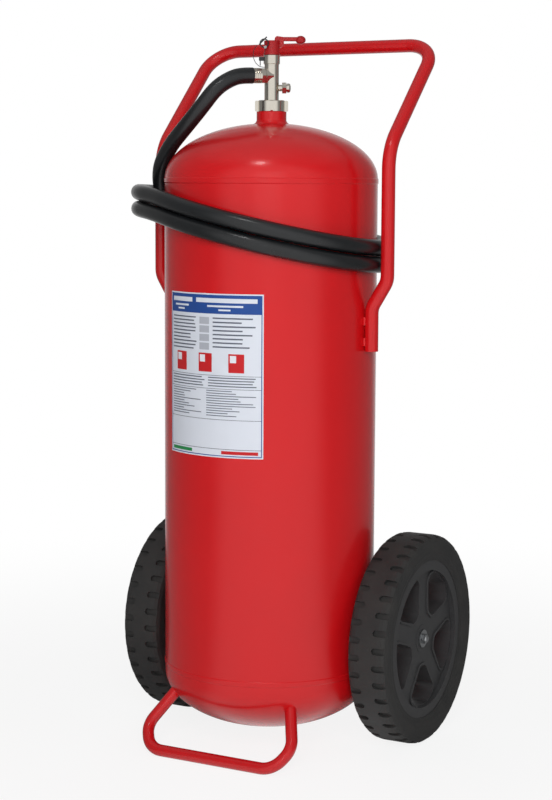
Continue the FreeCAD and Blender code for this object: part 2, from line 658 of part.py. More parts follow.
def make_safety_pin():
    """Straight pin through both cheeks, with a pull ring through its head, on the side that faces front."""
    pin_z = PIVOT_Z - PIN_DROP
    base = V(-PIN_LEFT, 0, pin_z)
    head_y = math.sqrt(CAP_R ** 2 - (PIN_LEFT - PIN_HEAD_R) ** 2) + PIN_HEAD_GAP
    shank = ring(PIN_R, 0, -head_y, CAP_R - 3.0, Y_AXIS, base)
    head = ring(PIN_HEAD_R, 0, head_y, head_y + PIN_HEAD_T, Y_AXIS * -1, base)
    pin = joined([shank, head])
    lean = math.radians(90 + PULL_RING_LEAN)
    ring_y = -head_y - PIN_HEAD_T / 2
    centre = V(-PIN_LEFT + PULL_RING_R * math.cos(lean), ring_y, pin_z + PULL_RING_R * math.sin(lean))
    along = V(-math.sin(lean), 0, math.cos(lean))
    pin = pin.cut(ring(PULL_RING_HOLE, 0, -5, 5, along, V(-PIN_LEFT, ring_y, pin_z)))
    loop = Part.makeTorus(PULL_RING_R, PULL_RING_WIRE, centre, Y_AXIS)
    tail_way = V(math.cos(math.radians(TAIL_ANGLE)), 0, math.sin(math.radians(TAIL_ANGLE)))
    aside = V(-tail_way.z, 0, tail_way.x) * TAIL_ASIDE
    tail_start = centre + aside - tail_way * (PULL_RING_TAIL * 0.42)
    tail = Part.makeCylinder(PULL_RING_WIRE, PULL_RING_TAIL, tail_start, tail_way)
    return {"safety_pin": pin, "pull_ring": joined([loop, tail])}


def make_tether():
    """Thin wire from the valve body up to the pull ring, so that the pin isn't lost."""
    low_z = BODY_TOP_Z - 4.0
    points = [V(-BODY_R, -2, low_z), V(-BODY_R - 9, -2, low_z + 1), V(-BODY_R - 17, -3, low_z + 8),
              V(-BODY_R - 21.5, -5, low_z + 19), V(-BODY_R - 20.5, -8, low_z + 31),
              V(-BODY_R - 14.5, -12, low_z + 39)]
    radii = run_radii(points)
    print("pin_tether radii", [round(r, 1) for r in radii])
    return {"pin_tether": bent_tube(points, radii, TETHER_R, 0)}


def make_relief_valve():
    start = PORT_REACH
    spigot = ring(PORT_BORE_R - FIT_GAP, 0, start - RELIEF_SPIGOT, start)
    body = prism(RELIEF_HEX, start, start + RELIEF_HEX_T)
    cap_low = start + RELIEF_HEX_T
    cap = turned_profile([(0, cap_low), (RELIEF_CAP_R, cap_low), (RELIEF_CAP_R, cap_low + RELIEF_CAP_T - 3),
                          (RELIEF_CAP_R - 1.2, cap_low + RELIEF_CAP_T - 1), (RELIEF_CAP_R - 4, cap_low + RELIEF_CAP_T),
                          (0, cap_low + RELIEF_CAP_T)])
    groove = ring(RELIEF_CAP_R + 3, RELIEF_CAP_R - 1.6, cap_low + 0.2, cap_low + 1.4)
    top = cap_low + RELIEF_CAP_T
    slot = box(-RELIEF_CAP_R, RELIEF_CAP_R, -RELIEF_SLOT / 2, RELIEF_SLOT / 2, top - 2, top + 1)
    return {"relief_valve": along_port(joined([spigot, body, cap.cut(groove).cut(slot)]))}


def make_coupling():
    """Swivel nut and crimped ferrule at the valve's outlet."""
    nut = prism(NUT_HEX, NUT_START, NUT_END).cut(ring(OUTLET_THREAD_R + FIT_GAP, 0, 0, 60))
    ferrule = ring(FERRULE_R, 0, NUT_END, FERRULE_END)
    for i in range(3):
        low = NUT_END + 4.0 + 4.0 * i
        ferrule = ferrule.cut(ring(FERRULE_R + 1, FERRULE_R - FERRULE_GROOVE, low, low + 1.5))
    ferrule = ferrule.cut(ring(OUTLET_THREAD_R + FIT_GAP, 0, NUT_END - 1, OUTLET_THREAD_END))
    ferrule = ferrule.cut(ring(OUTLET_BORE_R, 0, NUT_END, FERRULE_END + 1))
    return {"outlet_nut": along_outlet(nut), "hose_ferrule": along_outlet(ferrule)}


def wrap_radius(degrees):
    """The hose lies on the barrel and swells out round the left leg."""
    off = abs((degrees + 360.0) % 360.0 - 180.0)
    if off >= BULGE_HALF_TURN:
        return HOSE_LIE
    return HOSE_LIE + LEG_BULGE * (1 + math.cos(math.pi * off / BULGE_HALF_TURN)) / 2


# Travel along the winding is an angle that grows from the left leg round the back
WRAP_START = 25.0
WRAP_END = 720.0
WRAP_TILT = 49.0
WRAP_SKEW = 10.5
WRAP_BASES = ((25.0, 933.0), (180.0, 966.0), (360.0, 966.0), (540.0, 997.2), (720.0, 997.2))

# Stations of the hose: bearing, distance from the axis as a share of VESSEL_R, height over the top seam
DROP_STATIONS = ((230.2, 0.3997, 188.2), (230.5, 0.5527, 169.6), (227.2, 0.6839, 133.4),
                 (217.9, 0.8173, 96.6), (206.1, 0.9609, 62.7), (197.4, 1.098, 17.6), (189, 1.0995, -39.3),
                 (175.3, 1.0871, -78.7), (165.2, 1.0971, -90.6))
TAIL_STATIONS = ((162.6, 1.3727, -24.4), (150.4, 1.335, -35.8), (138.5, 1.2893, -68.8),
                 (129.1, 1.283, -119), (122.9, 1.2801, -171), (118.8, 1.2666, -224))


def wrap_height(travel):
    base = WRAP_BASES[-1][1]
    for (a, low), (b, high) in zip(WRAP_BASES, WRAP_BASES[1:]):
        if travel <= b:
            share = max(0.0, (travel - a) / (b - a))
            base = low + (high - low) * (1 - math.cos(math.pi * share)) / 2
            break
    azimuth = math.radians(180.0 - travel)
    return base - WRAP_TILT * math.cos(azimuth) - WRAP_SKEW * math.sin(azimuth)


def wrap_point(travel):
    azimuth = math.radians(180.0 - travel)
    radius = HOSE_LIE
    if travel > 90.0:
        radius = wrap_radius(180.0 - travel)
    return V(radius * math.cos(azimuth), radius * math.sin(azimuth), wrap_height(travel))


def wrap_tangent(travel):
    step = 0.02
    return (wrap_point(travel + step) - wrap_point(travel - step)).normalize()


def biarc(a, a_way, b, b_way):
    """Two tangent arcs from a to b that leave along a_way and arrive along b_way."""
    across = b - a
    both = a_way + b_way
    bend = 2 * (1 - a_way.dot(b_way))
    reach = (math.sqrt(across.dot(both) ** 2 + bend * across.dot(across)) - across.dot(both)) / bend
    first = a + a_way * reach
    last = b - b_way * reach
    middle = (first + last) * 0.5
    return [corner_arc(a, first, middle).toShape(), corner_arc(middle, last, b).toShape()]


def wrap_stops():
    """Where biarcs meet: close together at the bulge round the left leg, wider on the barrel."""
    stops = [WRAP_START, 54.0]
    for turn in (0, 1):
        first = 360.0 * turn
        stops += [first + t for t in (99.0, 144.0, 189.0, 234.0, 270.0, 306.0, 333.0, 360.0)]
        if turn == 0:
            stops += [387.0, 414.0]
    return stops


def make_winding():
    edges = []
    stops = wrap_stops()
    for a, b in zip(stops, stops[1:]):
        edges += biarc(wrap_point(a), wrap_tangent(a), wrap_point(b), wrap_tangent(b))
    path = Part.Wire(edges)
    tightest = min(edge.Curve.Radius for edge in edges)
    samples = [edge.valueAt(edge.getParameterByLength(edge.Length * k / 6)) for edge in edges for k in range(6)]
    gap = 1e9
    far = int(len(samples) / 4)
    for i in range(len(samples)):
        for j in range(i + far, len(samples)):
            gap = min(gap, (samples[i] - samples[j]).Length - 2 * HOSE_R)
    print(f"hose_winding: tightest radius {tightest:.0f} mm, least gap to itself {gap:.2f} mm")
    return {"hose_winding": hose_on(path, "hose_winding")}


def at_stations(stations):
    points = []
    for bearing, share, rise in stations:
        angle = math.radians(bearing)
        out = VESSEL_R * share
        points.append(V(out * math.cos(angle), out * math.sin(angle), TOP_SEAM_Z + rise))
    return points


def hose_drop_points():
    """From the ferrule over the dome's left edge and down to the start of the winding."""
    turn = math.radians(VALVE_TURN + OUTLET_TURN)
    start = V(FERRULE_END * math.cos(turn), FERRULE_END * math.sin(turn), FLANGE_TOP_Z + OUTLET_RISE)
    way = V(math.cos(turn), math.sin(turn), 0)
    return [start, start + way * 20] + at_stations(DROP_STATIONS) + [wrap_point(WRAP_START)]


def make_drop():
    points = hose_drop_points()
    radii = run_radii(points)
    print("hose_drop radii", [round(r) for r in radii])
    return {"hose_drop": hose_on(bent_path(points, radii), "hose_drop")}


def hose_tail_points():
    """From the winding's end at the left leg over the turns behind and down to the gun."""
    start = wrap_point(WRAP_END)
    way = wrap_tangent(WRAP_END)
    gun_end = [V(GUN_X, GUN_Y, GUN_TOP_Z + 45), V(GUN_X, GUN_Y, GUN_TOP_Z)]
    return [start, start + way * 34] + at_stations(TAIL_STATIONS) + gun_end


def make_tail():
    points = hose_tail_points()
    radii = run_radii(points)
    print("hose_tail radii", [round(r) for r in radii])
    return {"hose_tail": hose_on(bent_path(points, radii), "hose_tail")}


def make_handle():
    """One bent tube: two legs that stand off the vessel and a push bar behind the valve."""
    left = [V(-LEG_LOW_X, 0, LEG_END_Z), V(-LEG_LOW_X, 0, S_BEND_LOW_Z), V(-LEG_X, 0, S_BEND_HIGH_Z),
            V(-LEG_X, 0, SHOULDER_Z), V(-LEG_X, BAR_Y, BAR_Z)]
    right = [V(-p.x, p.y, p.z) for p in reversed(left)]
    side = [S_BEND_R, S_BEND_R, SHOULDER_R, BAR_CORNER_R]
    tube = bent_tube(left + right, side + side[::-1], TUBE_R, TUBE_R - TUBE_WALL)
    beads = []
    for sign in (-1, 1):
        for height in WELD_HEIGHTS:
            for front in (-1, 1):
                base = V(sign * (VESSEL_R + WELD_R * 0.55), front * (WELD_R + 2.2), height)
                bead = Part.makeCylinder(WELD_R, WELD_LENGTH, base, Z_AXIS)
                bead = bead.cut(ring(VESSEL_R, 0, height - 1, height + WELD_LENGTH + 1))
                leg = ring(TUBE_R, 0, height - 1, height + WELD_LENGTH + 1, Z_AXIS, V(sign * LEG_LOW_X, 0, 0))
                beads.append(bead.cut(leg))
    return {"push_handle": tube, "handle_welds": Part.makeCompound(beads)}


def make_foot():
    """Tube loop under the front of the vessel: it stands on the floor with its bar."""
    x, y, z = FOOT_TOP
    slope = V(0, y - FOOT_Y, z - FOOT_R).normalize()
    foot = V(0, FOOT_Y, FOOT_R)

    def spot(across, up):
        return V(across, 0, 0) + foot + slope * up

    top_up = (V(0, y, z) - foot).Length + 12.0
    right = [spot(x - 5, top_up), spot(FOOT_SIDE_X, FOOT_SIDE_UP), spot(FOOT_CORNER_X, 0)]
    left = [V(-p.x, p.y, p.z) for p in reversed(right)]
    points = right + left
    loop = bent_tube(points, [FOOT_BEND_R, FOOT_BEND_R, FOOT_BEND_R, FOOT_BEND_R], FOOT_R, 0)
    dish = Part.makeSphere(1.0, V(0, 0, 0))
    squeeze = FreeCAD.Matrix()
    squeeze.scale(V(VESSEL_R, VESSEL_R, DOME_RISE))
    dish = dish.transformGeometry(squeeze)
    dish.translate(V(0, 0, BOTTOM_EQUATOR_Z))
    cut = loop.cut(dish)
    solids = sorted(cut.Solids, key=lambda solid: -solid.Volume)
    return {"foot_loop": solids[0]}


def window_wire(grow):
    """Outline of one window in the wheel's disc, in the YZ plane, grown by a wall."""
    outer = WINDOW_OUT_R + grow
    inner = WINDOW_IN_R - grow
    spread_out = math.degrees(grow / outer) + WINDOW_OUT_HALF
    spread_in = math.degrees(grow / inner) + WINDOW_IN_HALF
    polar = [(inner, -spread_in), (outer * 0.93, -spread_out), (outer / math.cos(math.radians(12)), -spread_out * 0.45),
             (outer / math.cos(math.radians(12)), spread_out * 0.45), (outer * 0.93, spread_out), (inner, spread_in)]
    points = [V(0, r * math.cos(math.radians(a)), r * math.sin(math.radians(a))) for r, a in polar]
    radius = WINDOW_CORNER_R + grow
    edges = []
    count = len(points)
    first = None
    for i in range(count):
        before, corner, after = points[i - 1], points[i], points[(i + 1) % count]
        back = (before - corner).normalize()
        ahead = (after - corner).normalize()
        half_turn = (math.pi - back.getAngle(ahead)) / 2
        bend = min(radius, 0.46 * min((before - corner).Length, (after - corner).Length) / math.tan(half_turn))
        a = corner + back * (bend * math.tan(half_turn))
        b = corner + ahead * (bend * math.tan(half_turn))
        if first is None:
            first = a
        else:
            edges.append(Part.makeLine(last, a))
        edges.append(corner_arc(a, corner, b).toShape())
        last = b
    edges.append(Part.makeLine(last, first))
    return Part.Wire(edges)


def make_rim():
    """Moulded rim: barrel, lip, dished disc with five windows and their webs, and the hub. Outer face at X = 0."""
    barrel_low = -(WHEEL_W - RIM_LIP_IN)
    barrel = ring(TYRE_BORE_R, TYRE_BORE_R - RIM_WALL, barrel_low, -RIM_LIP_IN, X_AXIS)
    lip = ring(TYRE_BORE_R, RIM_LIP_R, -RIM_LIP_IN - RIM_LIP_T, -RIM_LIP_IN, X_AXIS)
    disc = ring(TYRE_BORE_R - 1, 0, -DISC_IN - DISC_T, -DISC_IN, X_AXIS)
    hub = ring(HUB_R, 0, -HUB_IN - HUB_LENGTH, -HUB_IN - HUB_PLAY, X_AXIS)
    rim = joined([barrel, lip, disc])
    for i in range(WINDOW_COUNT):
        angle = WINDOW_TURN + 360.0 * i / WINDOW_COUNT
        wall = Part.Face(window_wire(WEB_T)).extrude(V(-WEB_DEPTH - WINDOW_BEAD, 0, 0))
        rim = rim.fuse(turned(moved(wall, WINDOW_BEAD - DISC_IN, 0, 0), angle, X_AXIS))
    rim = rim.fuse(hub)
    for i in range(WINDOW_COUNT):
        angle = WINDOW_TURN + 360.0 * i / WINDOW_COUNT
        hole = Part.Face(window_wire(0)).extrude(V(-WHEEL_W - 10, 0, 0))
        rim = rim.cut(turned(moved(hole, 5, 0, 0), angle, X_AXIS))
    rim = rim.cut(ring(BUSH_R, 0, -WHEEL_W, 10, X_AXIS))
    return rim.removeSplitter()


def make_tyre():
    """Solid rubber tyre: a plain middle rib and two staggered rows of round-ended grooves."""
    side = TYRE_SIDE_IN
    half = WHEEL_W / 2
    profile = [(TYRE_BORE_R, -half + side + 1), (TYRE_BORE_R + 8, -half + side), (TYRE_BORE_R + 16, -half + 1.5),
               (TYRE_SHOULDER_R, -half), (WHEEL_R - 5, -half + 2.5), (WHEEL_R - 1.2, -half + 8),
               (WHEEL_R, -half + 16)]
    mirrored = [(r, -x) for r, x in reversed(profile)]
    tyre = turned(turned_profile(profile + mirrored), 90, Y_AXIS)
    tyre = moved(tyre, -half, 0, 0)
    floor_r = WHEEL_R - GROOVE_DEPTH
    cutters = []
    for row, sign in enumerate((1, -1)):
        for i in range(GROOVE_COUNT):
            angle = 360.0 * (i + 0.5 * row) / GROOVE_COUNT
            straight = GROOVE_LENGTH - GROOVE_W / 2
            low = half - straight
            slot = box(low, half + 5, -GROOVE_W / 2, GROOVE_W / 2, floor_r, WHEEL_R + 10)
            end = Part.makeCylinder(GROOVE_W / 2, WHEEL_R + 10 - floor_r, V(low, 0, floor_r), Z_AXIS)
            cutter = slot.fuse(end)
            if sign < 0:
                cutter = turned(cutter, 180, Z_AXIS)
            cutters.append(turned(moved(cutter, -half, 0, 0), angle, X_AXIS))
    return tyre.cut(Part.makeCompound(cutters))


def on_right(shape):
    return moved(shape, WHEEL_FACE_X, AXLE_Y, AXLE_Z)


def to_left(shape):
    return shape.mirror(V(0, 0, 0), X_AXIS)


def make_wheels():
    rim = make_rim()
    tyre = make_tyre()
    bush = ring(BUSH_R, AXLE_R + RUN_GAP, -HUB_IN - HUB_LENGTH, -HUB_IN - HUB_PLAY, X_AXIS)
    washer = ring(WASHER_R, BOLT_SHANK_R + 0.2, -HUB_IN, -HUB_IN + WASHER_T, X_AXIS)
    head_low = -HUB_IN + WASHER_T
    head = prism(BOLT_HEX, head_low, head_low + BOLT_HEAD_T)
    dome_low = head_low + BOLT_HEAD_T
    cap = turned_profile([(0, dome_low), (BOLT_DOME_R, dome_low), (BOLT_DOME_R - 1.6, dome_low + BOLT_DOME_T * 0.6),
                          (BOLT_DOME_R - 4.2, dome_low + BOLT_DOME_T), (0, dome_low + BOLT_DOME_T)])
    shank = ring(BOLT_SHANK_R, 0, head_low - WASHER_T - BOLT_SHANK_L, head_low)
    bolt = turned(joined([head, cap, shank]), 90, Y_AXIS)
    axle_end = WHEEL_FACE_X - HUB_IN
    axle_start = SLEEVE_END_X - 32.0
    axle = ring(AXLE_R, 0, axle_start, axle_end, X_AXIS, V(0, AXLE_Y, AXLE_Z))
    hole_start = axle_end - BOLT_SHANK_L - 1
    axle = axle.cut(ring(BOLT_SHANK_R + FIT_GAP, 0, hole_start, axle_end + 1, X_AXIS, V(0, AXLE_Y, AXLE_Z)))
    pieces = {"wheel_rim": on_right(rim), "wheel_tyre": on_right(tyre), "hub_bush": on_right(bush),
              "hub_washer": on_right(washer), "hub_bolt": on_right(bolt), "axle_stub": axle}
    return pieces


def make_bracket():
    """Saddle on the vessel's side with the axle's sleeve and two gussets, on the right."""
    middle = math.degrees(math.asin(AXLE_Y / VESSEL_R))
    pad = ring(VESSEL_R + PAD_T, VESSEL_R, PAD_LOW_Z, PAD_HIGH_Z)
    wedge_r = VESSEL_R * 1.3
    half = math.radians(PAD_HALF_TURN)
    corners = [V(0, 0, PAD_LOW_Z), V(wedge_r * math.cos(half), -wedge_r * math.sin(half), PAD_LOW_Z),
               V(wedge_r * math.cos(half), wedge_r * math.sin(half), PAD_LOW_Z)]
    wedge = Part.Face(Part.makePolygon(corners + [corners[0]])).extrude(V(0, 0, PAD_HIGH_Z - PAD_LOW_Z))
    pad = pad.common(turned(wedge, middle))
    start_x = VESSEL_R * 0.6
    sleeve = ring(SLEEVE_R, 0, start_x, SLEEVE_END_X, X_AXIS, V(0, AXLE_Y, AXLE_Z))
    gusset_y = AXLE_Y - GUSSET_T / 2
    top = AXLE_Z + SLEEVE_R + GUSSET_H
    low = PAD_LOW_Z + 2
    outline = [V(start_x, gusset_y, low), V(SLEEVE_END_X - 18, gusset_y, low), V(SLEEVE_END_X - 4, gusset_y, AXLE_Z),
               V(SLEEVE_END_X - 22, gusset_y, top), V(start_x, gusset_y, top)]
    gusset = Part.Face(Part.makePolygon(outline + [outline[0]])).extrude(V(0, GUSSET_T, 0))
    arm = sleeve.fuse(gusset).cut(ring(VESSEL_R + PAD_T / 2, 0, 0, 400))
    bracket = joined([pad, arm])
    bore = ring(AXLE_R + FIT_GAP, 0, start_x, SLEEVE_END_X + 1, X_AXIS, V(0, AXLE_Y, AXLE_Z))
    return bracket.cut(bore.cut(ring(VESSEL_R, 0, 0, 400)))


def gun_frame(shape):
    """Turn a gun piece so that its lever looks away from the vessel, and carry it to its place."""
    outward = math.degrees(math.atan2(GUN_Y, GUN_X))
    return moved(turned(shape, outward), GUN_X, GUN_Y, 0)


def make_gun():
    ferrule_low = GUN_TOP_Z - GUN_FERRULE_L
    ferrule = ring(GUN_FERRULE_R, GUN_BORE_R, ferrule_low, GUN_TOP_Z)
    for i in range(3):
        low = ferrule_low + 12.0 + 8.0 * i
        ferrule = ferrule.cut(ring(GUN_FERRULE_R + 1, GUN_FERRULE_R - 1.0, low, low + 2.5))
    hex_low = ferrule_low - GUN_HEX_T
    body_low = hex_low - GUN_BODY_L
    neck_low = body_low - GUN_NECK_L
    barrel = turned_profile([(0, hex_low), (GUN_NECK_R, hex_low), (GUN_BODY_R, hex_low - 5),
                             (GUN_BODY_R, body_low + 6), (GUN_NECK_R, body_low), (GUN_NECK_R, neck_low),
                             (0, neck_low)])
    pin_z = ferrule_low - EAR_DROP
    solids = [prism(GUN_HEX, hex_low, ferrule_low), barrel]
    for side in (-1, 1):
        inner = side * EAR_IN
        outer = side * EAR_OUT
        low_y = min(inner, outer)
        plate = box(GUN_NECK_R - 4, EAR_REACH, low_y, low_y + EAR_OUT - EAR_IN, pin_z - EAR_R, pin_z + EAR_R)
        eye = Part.makeCylinder(EAR_R, EAR_OUT - EAR_IN, V(EAR_REACH, low_y, pin_z), Y_AXIS)
        solids += [plate, eye]
    body = joined(solids)
    body = body.cut(ring(GUN_BORE_R, 0, neck_low - 1, ferrule_low + 1))
    pin_base = V(EAR_REACH, 0, pin_z)
    body = body.cut(ring(LEVER_PIN_R + 0.02, 0, -EAR_OUT - 1, EAR_OUT + 1, Y_AXIS, pin_base))
    pin = ring(LEVER_PIN_R, 0, -EAR_OUT - 1.5, EAR_OUT + 1.5, Y_AXIS, pin_base)

    hub = ring(EAR_R - 1.5, 0, -EAR_IN + 0.2, EAR_IN - 0.2, Y_AXIS, pin_base)
    low_z = pin_z - GUN_LEVER_L
    out = GUN_LEVER_OUT
    knee_z = pin_z - EAR_R - 6
    outline = [(EAR_REACH - 3, pin_z - 2), (EAR_REACH + 3, pin_z + 2), (out + GUN_LEVER_T, knee_z + 4),
               (out + GUN_LEVER_T, low_z + 10), (out + GUN_LEVER_T + 5, low_z), (out + 2, low_z),
               (out, low_z + 10), (out, knee_z + 2)]
    corners = [V(x, -EAR_IN + 0.2, z) for x, z in outline]
    web = Part.Face(Part.makePolygon(corners + [corners[0]])).extrude(V(0, 2 * EAR_IN - 0.4, 0))
    grip = box(out, out + GUN_LEVER_T, -GUN_LEVER_HALF, GUN_LEVER_HALF, low_z + 6, knee_z)
    grip = grip.makeFillet(1.4, [edge for edge in grip.Edges if edge.Length > 30])
    lever = joined([hub, web, grip]).cut(ring(LEVER_PIN_R + 0.06, 0, -20, 20, Y_AXIS, pin_base))

    nozzle_top = neck_low
    nozzle_low = nozzle_top - NOZZLE_L
    mouth_high = nozzle_low + NOZZLE_MOUTH_L
    nozzle = turned_profile([(0, nozzle_low), (NOZZLE_MOUTH_R, nozzle_low), (NOZZLE_MOUTH_R, mouth_high),
                             (NOZZLE_WAIST_R, mouth_high + 14), (GUN_NECK_R - 1, nozzle_top - 14),
                             (GUN_NECK_R - 1, nozzle_top), (GUN_BORE_R - FIT_GAP, nozzle_top),
                             (GUN_BORE_R - FIT_GAP, nozzle_top + 15), (0, nozzle_top + 15)])
    nozzle = nozzle.cut(ring(NOZZLE_THROAT_R, 0, nozzle_low - 1, nozzle_top + 16))
    nozzle = nozzle.cut(ring(NOZZLE_MOUTH_BORE, 0, nozzle_low - 1, mouth_high))
    made = {"gun_ferrule": ferrule, "gun_body": body, "gun_lever_pin": pin, "gun_lever": lever,
            "gun_nozzle": nozzle, "gun_holder": make_holder(body_low, ferrule_low)}
    return {name: gun_frame(shape) for name, shape in made.items()}


def clip(inner_r, low, height, strap_end):
    """An open spring clip with a strap back to the vessel."""
    outer_r = inner_r + CLIP_T
    band = ring(outer_r, inner_r, low, low + height)
    half = math.radians(CLIP_OPEN)
    far = outer_r * 3
    corners = [V(0, 0, low - 1), V(far * math.cos(half), far * math.sin(half), low - 1),
               V(far, far * math.sin(half), low - 1), V(far, -far * math.sin(half), low - 1),
               V(far * math.cos(half), -far * math.sin(half), low - 1)]
    opening = Part.Face(Part.makePolygon(corners + [corners[0]])).extrude(V(0, 0, height + 2))
    strap = box(-strap_end, 0, -STRAP_HALF, STRAP_HALF, low, low + height)
    hollow = box(-strap_end + STRAP_SINK + CLIP_T, -outer_r - 0.5, -STRAP_HALF + CLIP_T, STRAP_HALF - CLIP_T,
                 low - 1, low + height + 1)
    bore = ring(inner_r, 0, low - 1, low + height + 1)
    return joined([band, strap.cut(hollow)]).cut(bore).cut(opening)


def make_holder(body_low, ferrule_low):
    """Two clips on the vessel's back: one round the gun's body, one round its nozzle."""
    reach = math.hypot(GUN_X, GUN_Y)
    strap_end = reach - VESSEL_R + STRAP_SINK
    low = ferrule_low - CLIP_DROP
    upper = clip(GUN_BODY_R + CLIP_GAP, low, CLIP_H, strap_end)
    lower = clip(NOZZLE_MOUTH_R + CLIP_GAP, ferrule_low - REST_DROP, REST_H, strap_end)
    drum = ring(VESSEL_R, 0, 0, 1200, Z_AXIS, V(-reach, 0, 0))
    return Part.makeCompound([upper.cut(drum), lower.cut(drum)])


def build():
    nodes = {}
    nodes.update(make_vessel())
    nodes.update(make_label())
    nodes.update(make_handle())
    nodes.update(make_foot())
    valve = {"valve_body": make_valve_body()}
    for make in (make_ring_nut, make_valve_inside, make_collar, make_cap, make_lever, make_safety_pin,
                 make_tether, make_relief_valve, make_coupling):
        valve.update(make())
    for name, shape in valve.items():
        nodes[name] = turned(shape, VALVE_TURN)
    nodes.update(make_drop())
    nodes.update(make_winding())
    nodes.update(make_tail())
    nodes.update(make_gun())
    sides = make_wheels()
    sides["axle_bracket"] = make_bracket()
    for name, shape in sides.items():
        nodes[name + "_right"] = shape
        nodes[name + "_left"] = to_left(shape)
    return nodes


os.makedirs("parts", exist_ok=True)
for node_name, node_shape in build().items():
    placed = moved(node_shape, 0, -Y_MIDDLE, 0)
    if not placed.isValid():
        print("not valid:", node_name)
    placed.exportStep(f"parts/{node_name}.step")
print("nodes", len(os.listdir("parts")), "middle", Y_MIDDLE)
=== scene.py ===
# %% [markdown]
# # A wheeled dry powder extinguisher
# The CAD model gives every piece its place and size. This lesson dresses it: first the frame and the
# camera, then the finishes, the hose, the vessel, the label, and last the floor, the world and the lamps.
# The valve, the tubes, the gun and the wheels keep their CAD meshes and only get a finish.

# %% The frame
import json
import math

import bmesh
import bpy
from mathutils import Matrix, Vector


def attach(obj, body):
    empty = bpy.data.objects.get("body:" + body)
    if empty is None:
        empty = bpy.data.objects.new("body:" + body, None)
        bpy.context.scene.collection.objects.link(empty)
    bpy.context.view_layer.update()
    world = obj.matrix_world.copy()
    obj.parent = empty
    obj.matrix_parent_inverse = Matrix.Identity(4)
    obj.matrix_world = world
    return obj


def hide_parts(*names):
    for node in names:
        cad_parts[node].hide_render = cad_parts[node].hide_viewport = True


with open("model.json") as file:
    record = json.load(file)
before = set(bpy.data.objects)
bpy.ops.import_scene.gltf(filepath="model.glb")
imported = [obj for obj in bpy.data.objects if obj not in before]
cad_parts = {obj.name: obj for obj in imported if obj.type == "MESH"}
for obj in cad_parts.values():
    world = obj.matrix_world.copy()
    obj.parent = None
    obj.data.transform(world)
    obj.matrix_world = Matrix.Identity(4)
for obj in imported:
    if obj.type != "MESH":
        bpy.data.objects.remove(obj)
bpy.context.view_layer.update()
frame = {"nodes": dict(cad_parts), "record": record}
nodes = frame["nodes"]
MM = 0.001
AXIS_Y = -44.0
print("CAD pieces:", len(nodes))


def place(x, y, z):
    """A point that is measured in millimetres from the vessel's axis and the floor."""
    return Vector((x * MM, (y + AXIS_Y) * MM, z * MM))


# %% [markdown]
# ## Camera
# The photograph was taken with a long lens from the right of the front, a little above the middle.
# The camera's place was worked out from the vessel's edges and the wheels, so it is given as numbers.
# Its three directions make a rotation matrix: Blender's camera looks along its own -Z.

# %% Camera
CAMERA_TURN = math.radians(29.3215)
CAMERA_TILT = math.radians(6.60222)
CAMERA_ROLL = math.radians(0.281717)
CAMERA_AT = (1.7391, -3.1179, 1.06367)
CAMERA_LENS, SENSOR_W = 84.09, 36.0
FAR_CLIP = 60.0
forward = Vector((-math.sin(CAMERA_TURN) * math.cos(CAMERA_TILT),
                  math.cos(CAMERA_TURN) * math.cos(CAMERA_TILT), -math.sin(CAMERA_TILT)))
right = Vector((math.cos(CAMERA_TURN), math.sin(CAMERA_TURN), 0.0))
up = right.cross(forward)
across = right * math.cos(CAMERA_ROLL) + up * math.sin(CAMERA_ROLL)
above = up * math.cos(CAMERA_ROLL) - right * math.sin(CAMERA_ROLL)
camera_data = bpy.data.cameras.new("camera")
camera_data.lens = CAMERA_LENS
camera_data.sensor_width = SENSOR_W
camera_data.clip_end = FAR_CLIP
camera = bpy.data.objects.new("camera", camera_data)
camera.matrix_world = (Matrix.Translation(CAMERA_AT)
                       @ Matrix((across, above, -forward)).transposed().to_4x4())
bpy.context.scene.collection.objects.link(camera)
bpy.context.scene.camera = camera
bpy.context.scene.view_settings.view_transform = "Standard"
print("camera at", tuple(round(v, 3) for v in camera.matrix_world.translation))

# %% [markdown]
# ## Finishes
# Every material starts from what the real one is. Two small functions do the work: one turns a hex
# colour into the linear numbers that the shader wants, and one adds a node with its settings and links.

# %% Colour and node helpers


def linear(code):
    """Linear red, green, blue and alpha from an sRGB hex value."""
    channels = []
    for i in (0, 2, 4):
        c = int(code[i:i + 2], 16) / 255
        channels.append(c / 12.92 if c <= 0.04045 else ((c + 0.055) / 1.055) ** 2.4)
    return (*channels, 1.0)


def add(tree, kind, wires=None, values=None, **settings):
    """One node in a tree, with its settings, its fixed values and its incoming links."""
    node = tree.nodes.new(kind)
    for key, value in settings.items():
        setattr(node, key, value)
    for key, value in (values or {}).items():
        node.inputs[key].default_value = value
    for key, socket in (wires or {}).items():
        tree.links.new(socket, node.inputs[key])
    return node


def new_material(name):
    """An empty material with its shader and its Object coordinates in metres."""
    material = bpy.data.materials.new(name)
    material.use_nodes = True
    tree = material.node_tree
    tree.nodes.clear()
    shader = add(tree, "ShaderNodeBsdfPrincipled")
    add(tree, "ShaderNodeOutputMaterial", {"Surface": shader.outputs["BSDF"]})
    place_node = add(tree, "ShaderNodeTexCoord")
    return material, tree, shader, place_node.outputs["Object"]


def per_mm(size):
    """The texture scale at which one blob of noise is about this many millimetres wide."""
    return 1.0 / (size * MM)


# %% [markdown]
# ### Enamel
# Sprayed and baked gloss enamel: strong colour, a clear glassy top and the faint waviness that painters
# call orange peel. A bump map from noise is the light way to make that: real waves in the mesh would
# take millions of faces. It is very low, with waves of a few millimetres, and breaks up mirror images.

# %% Enamel


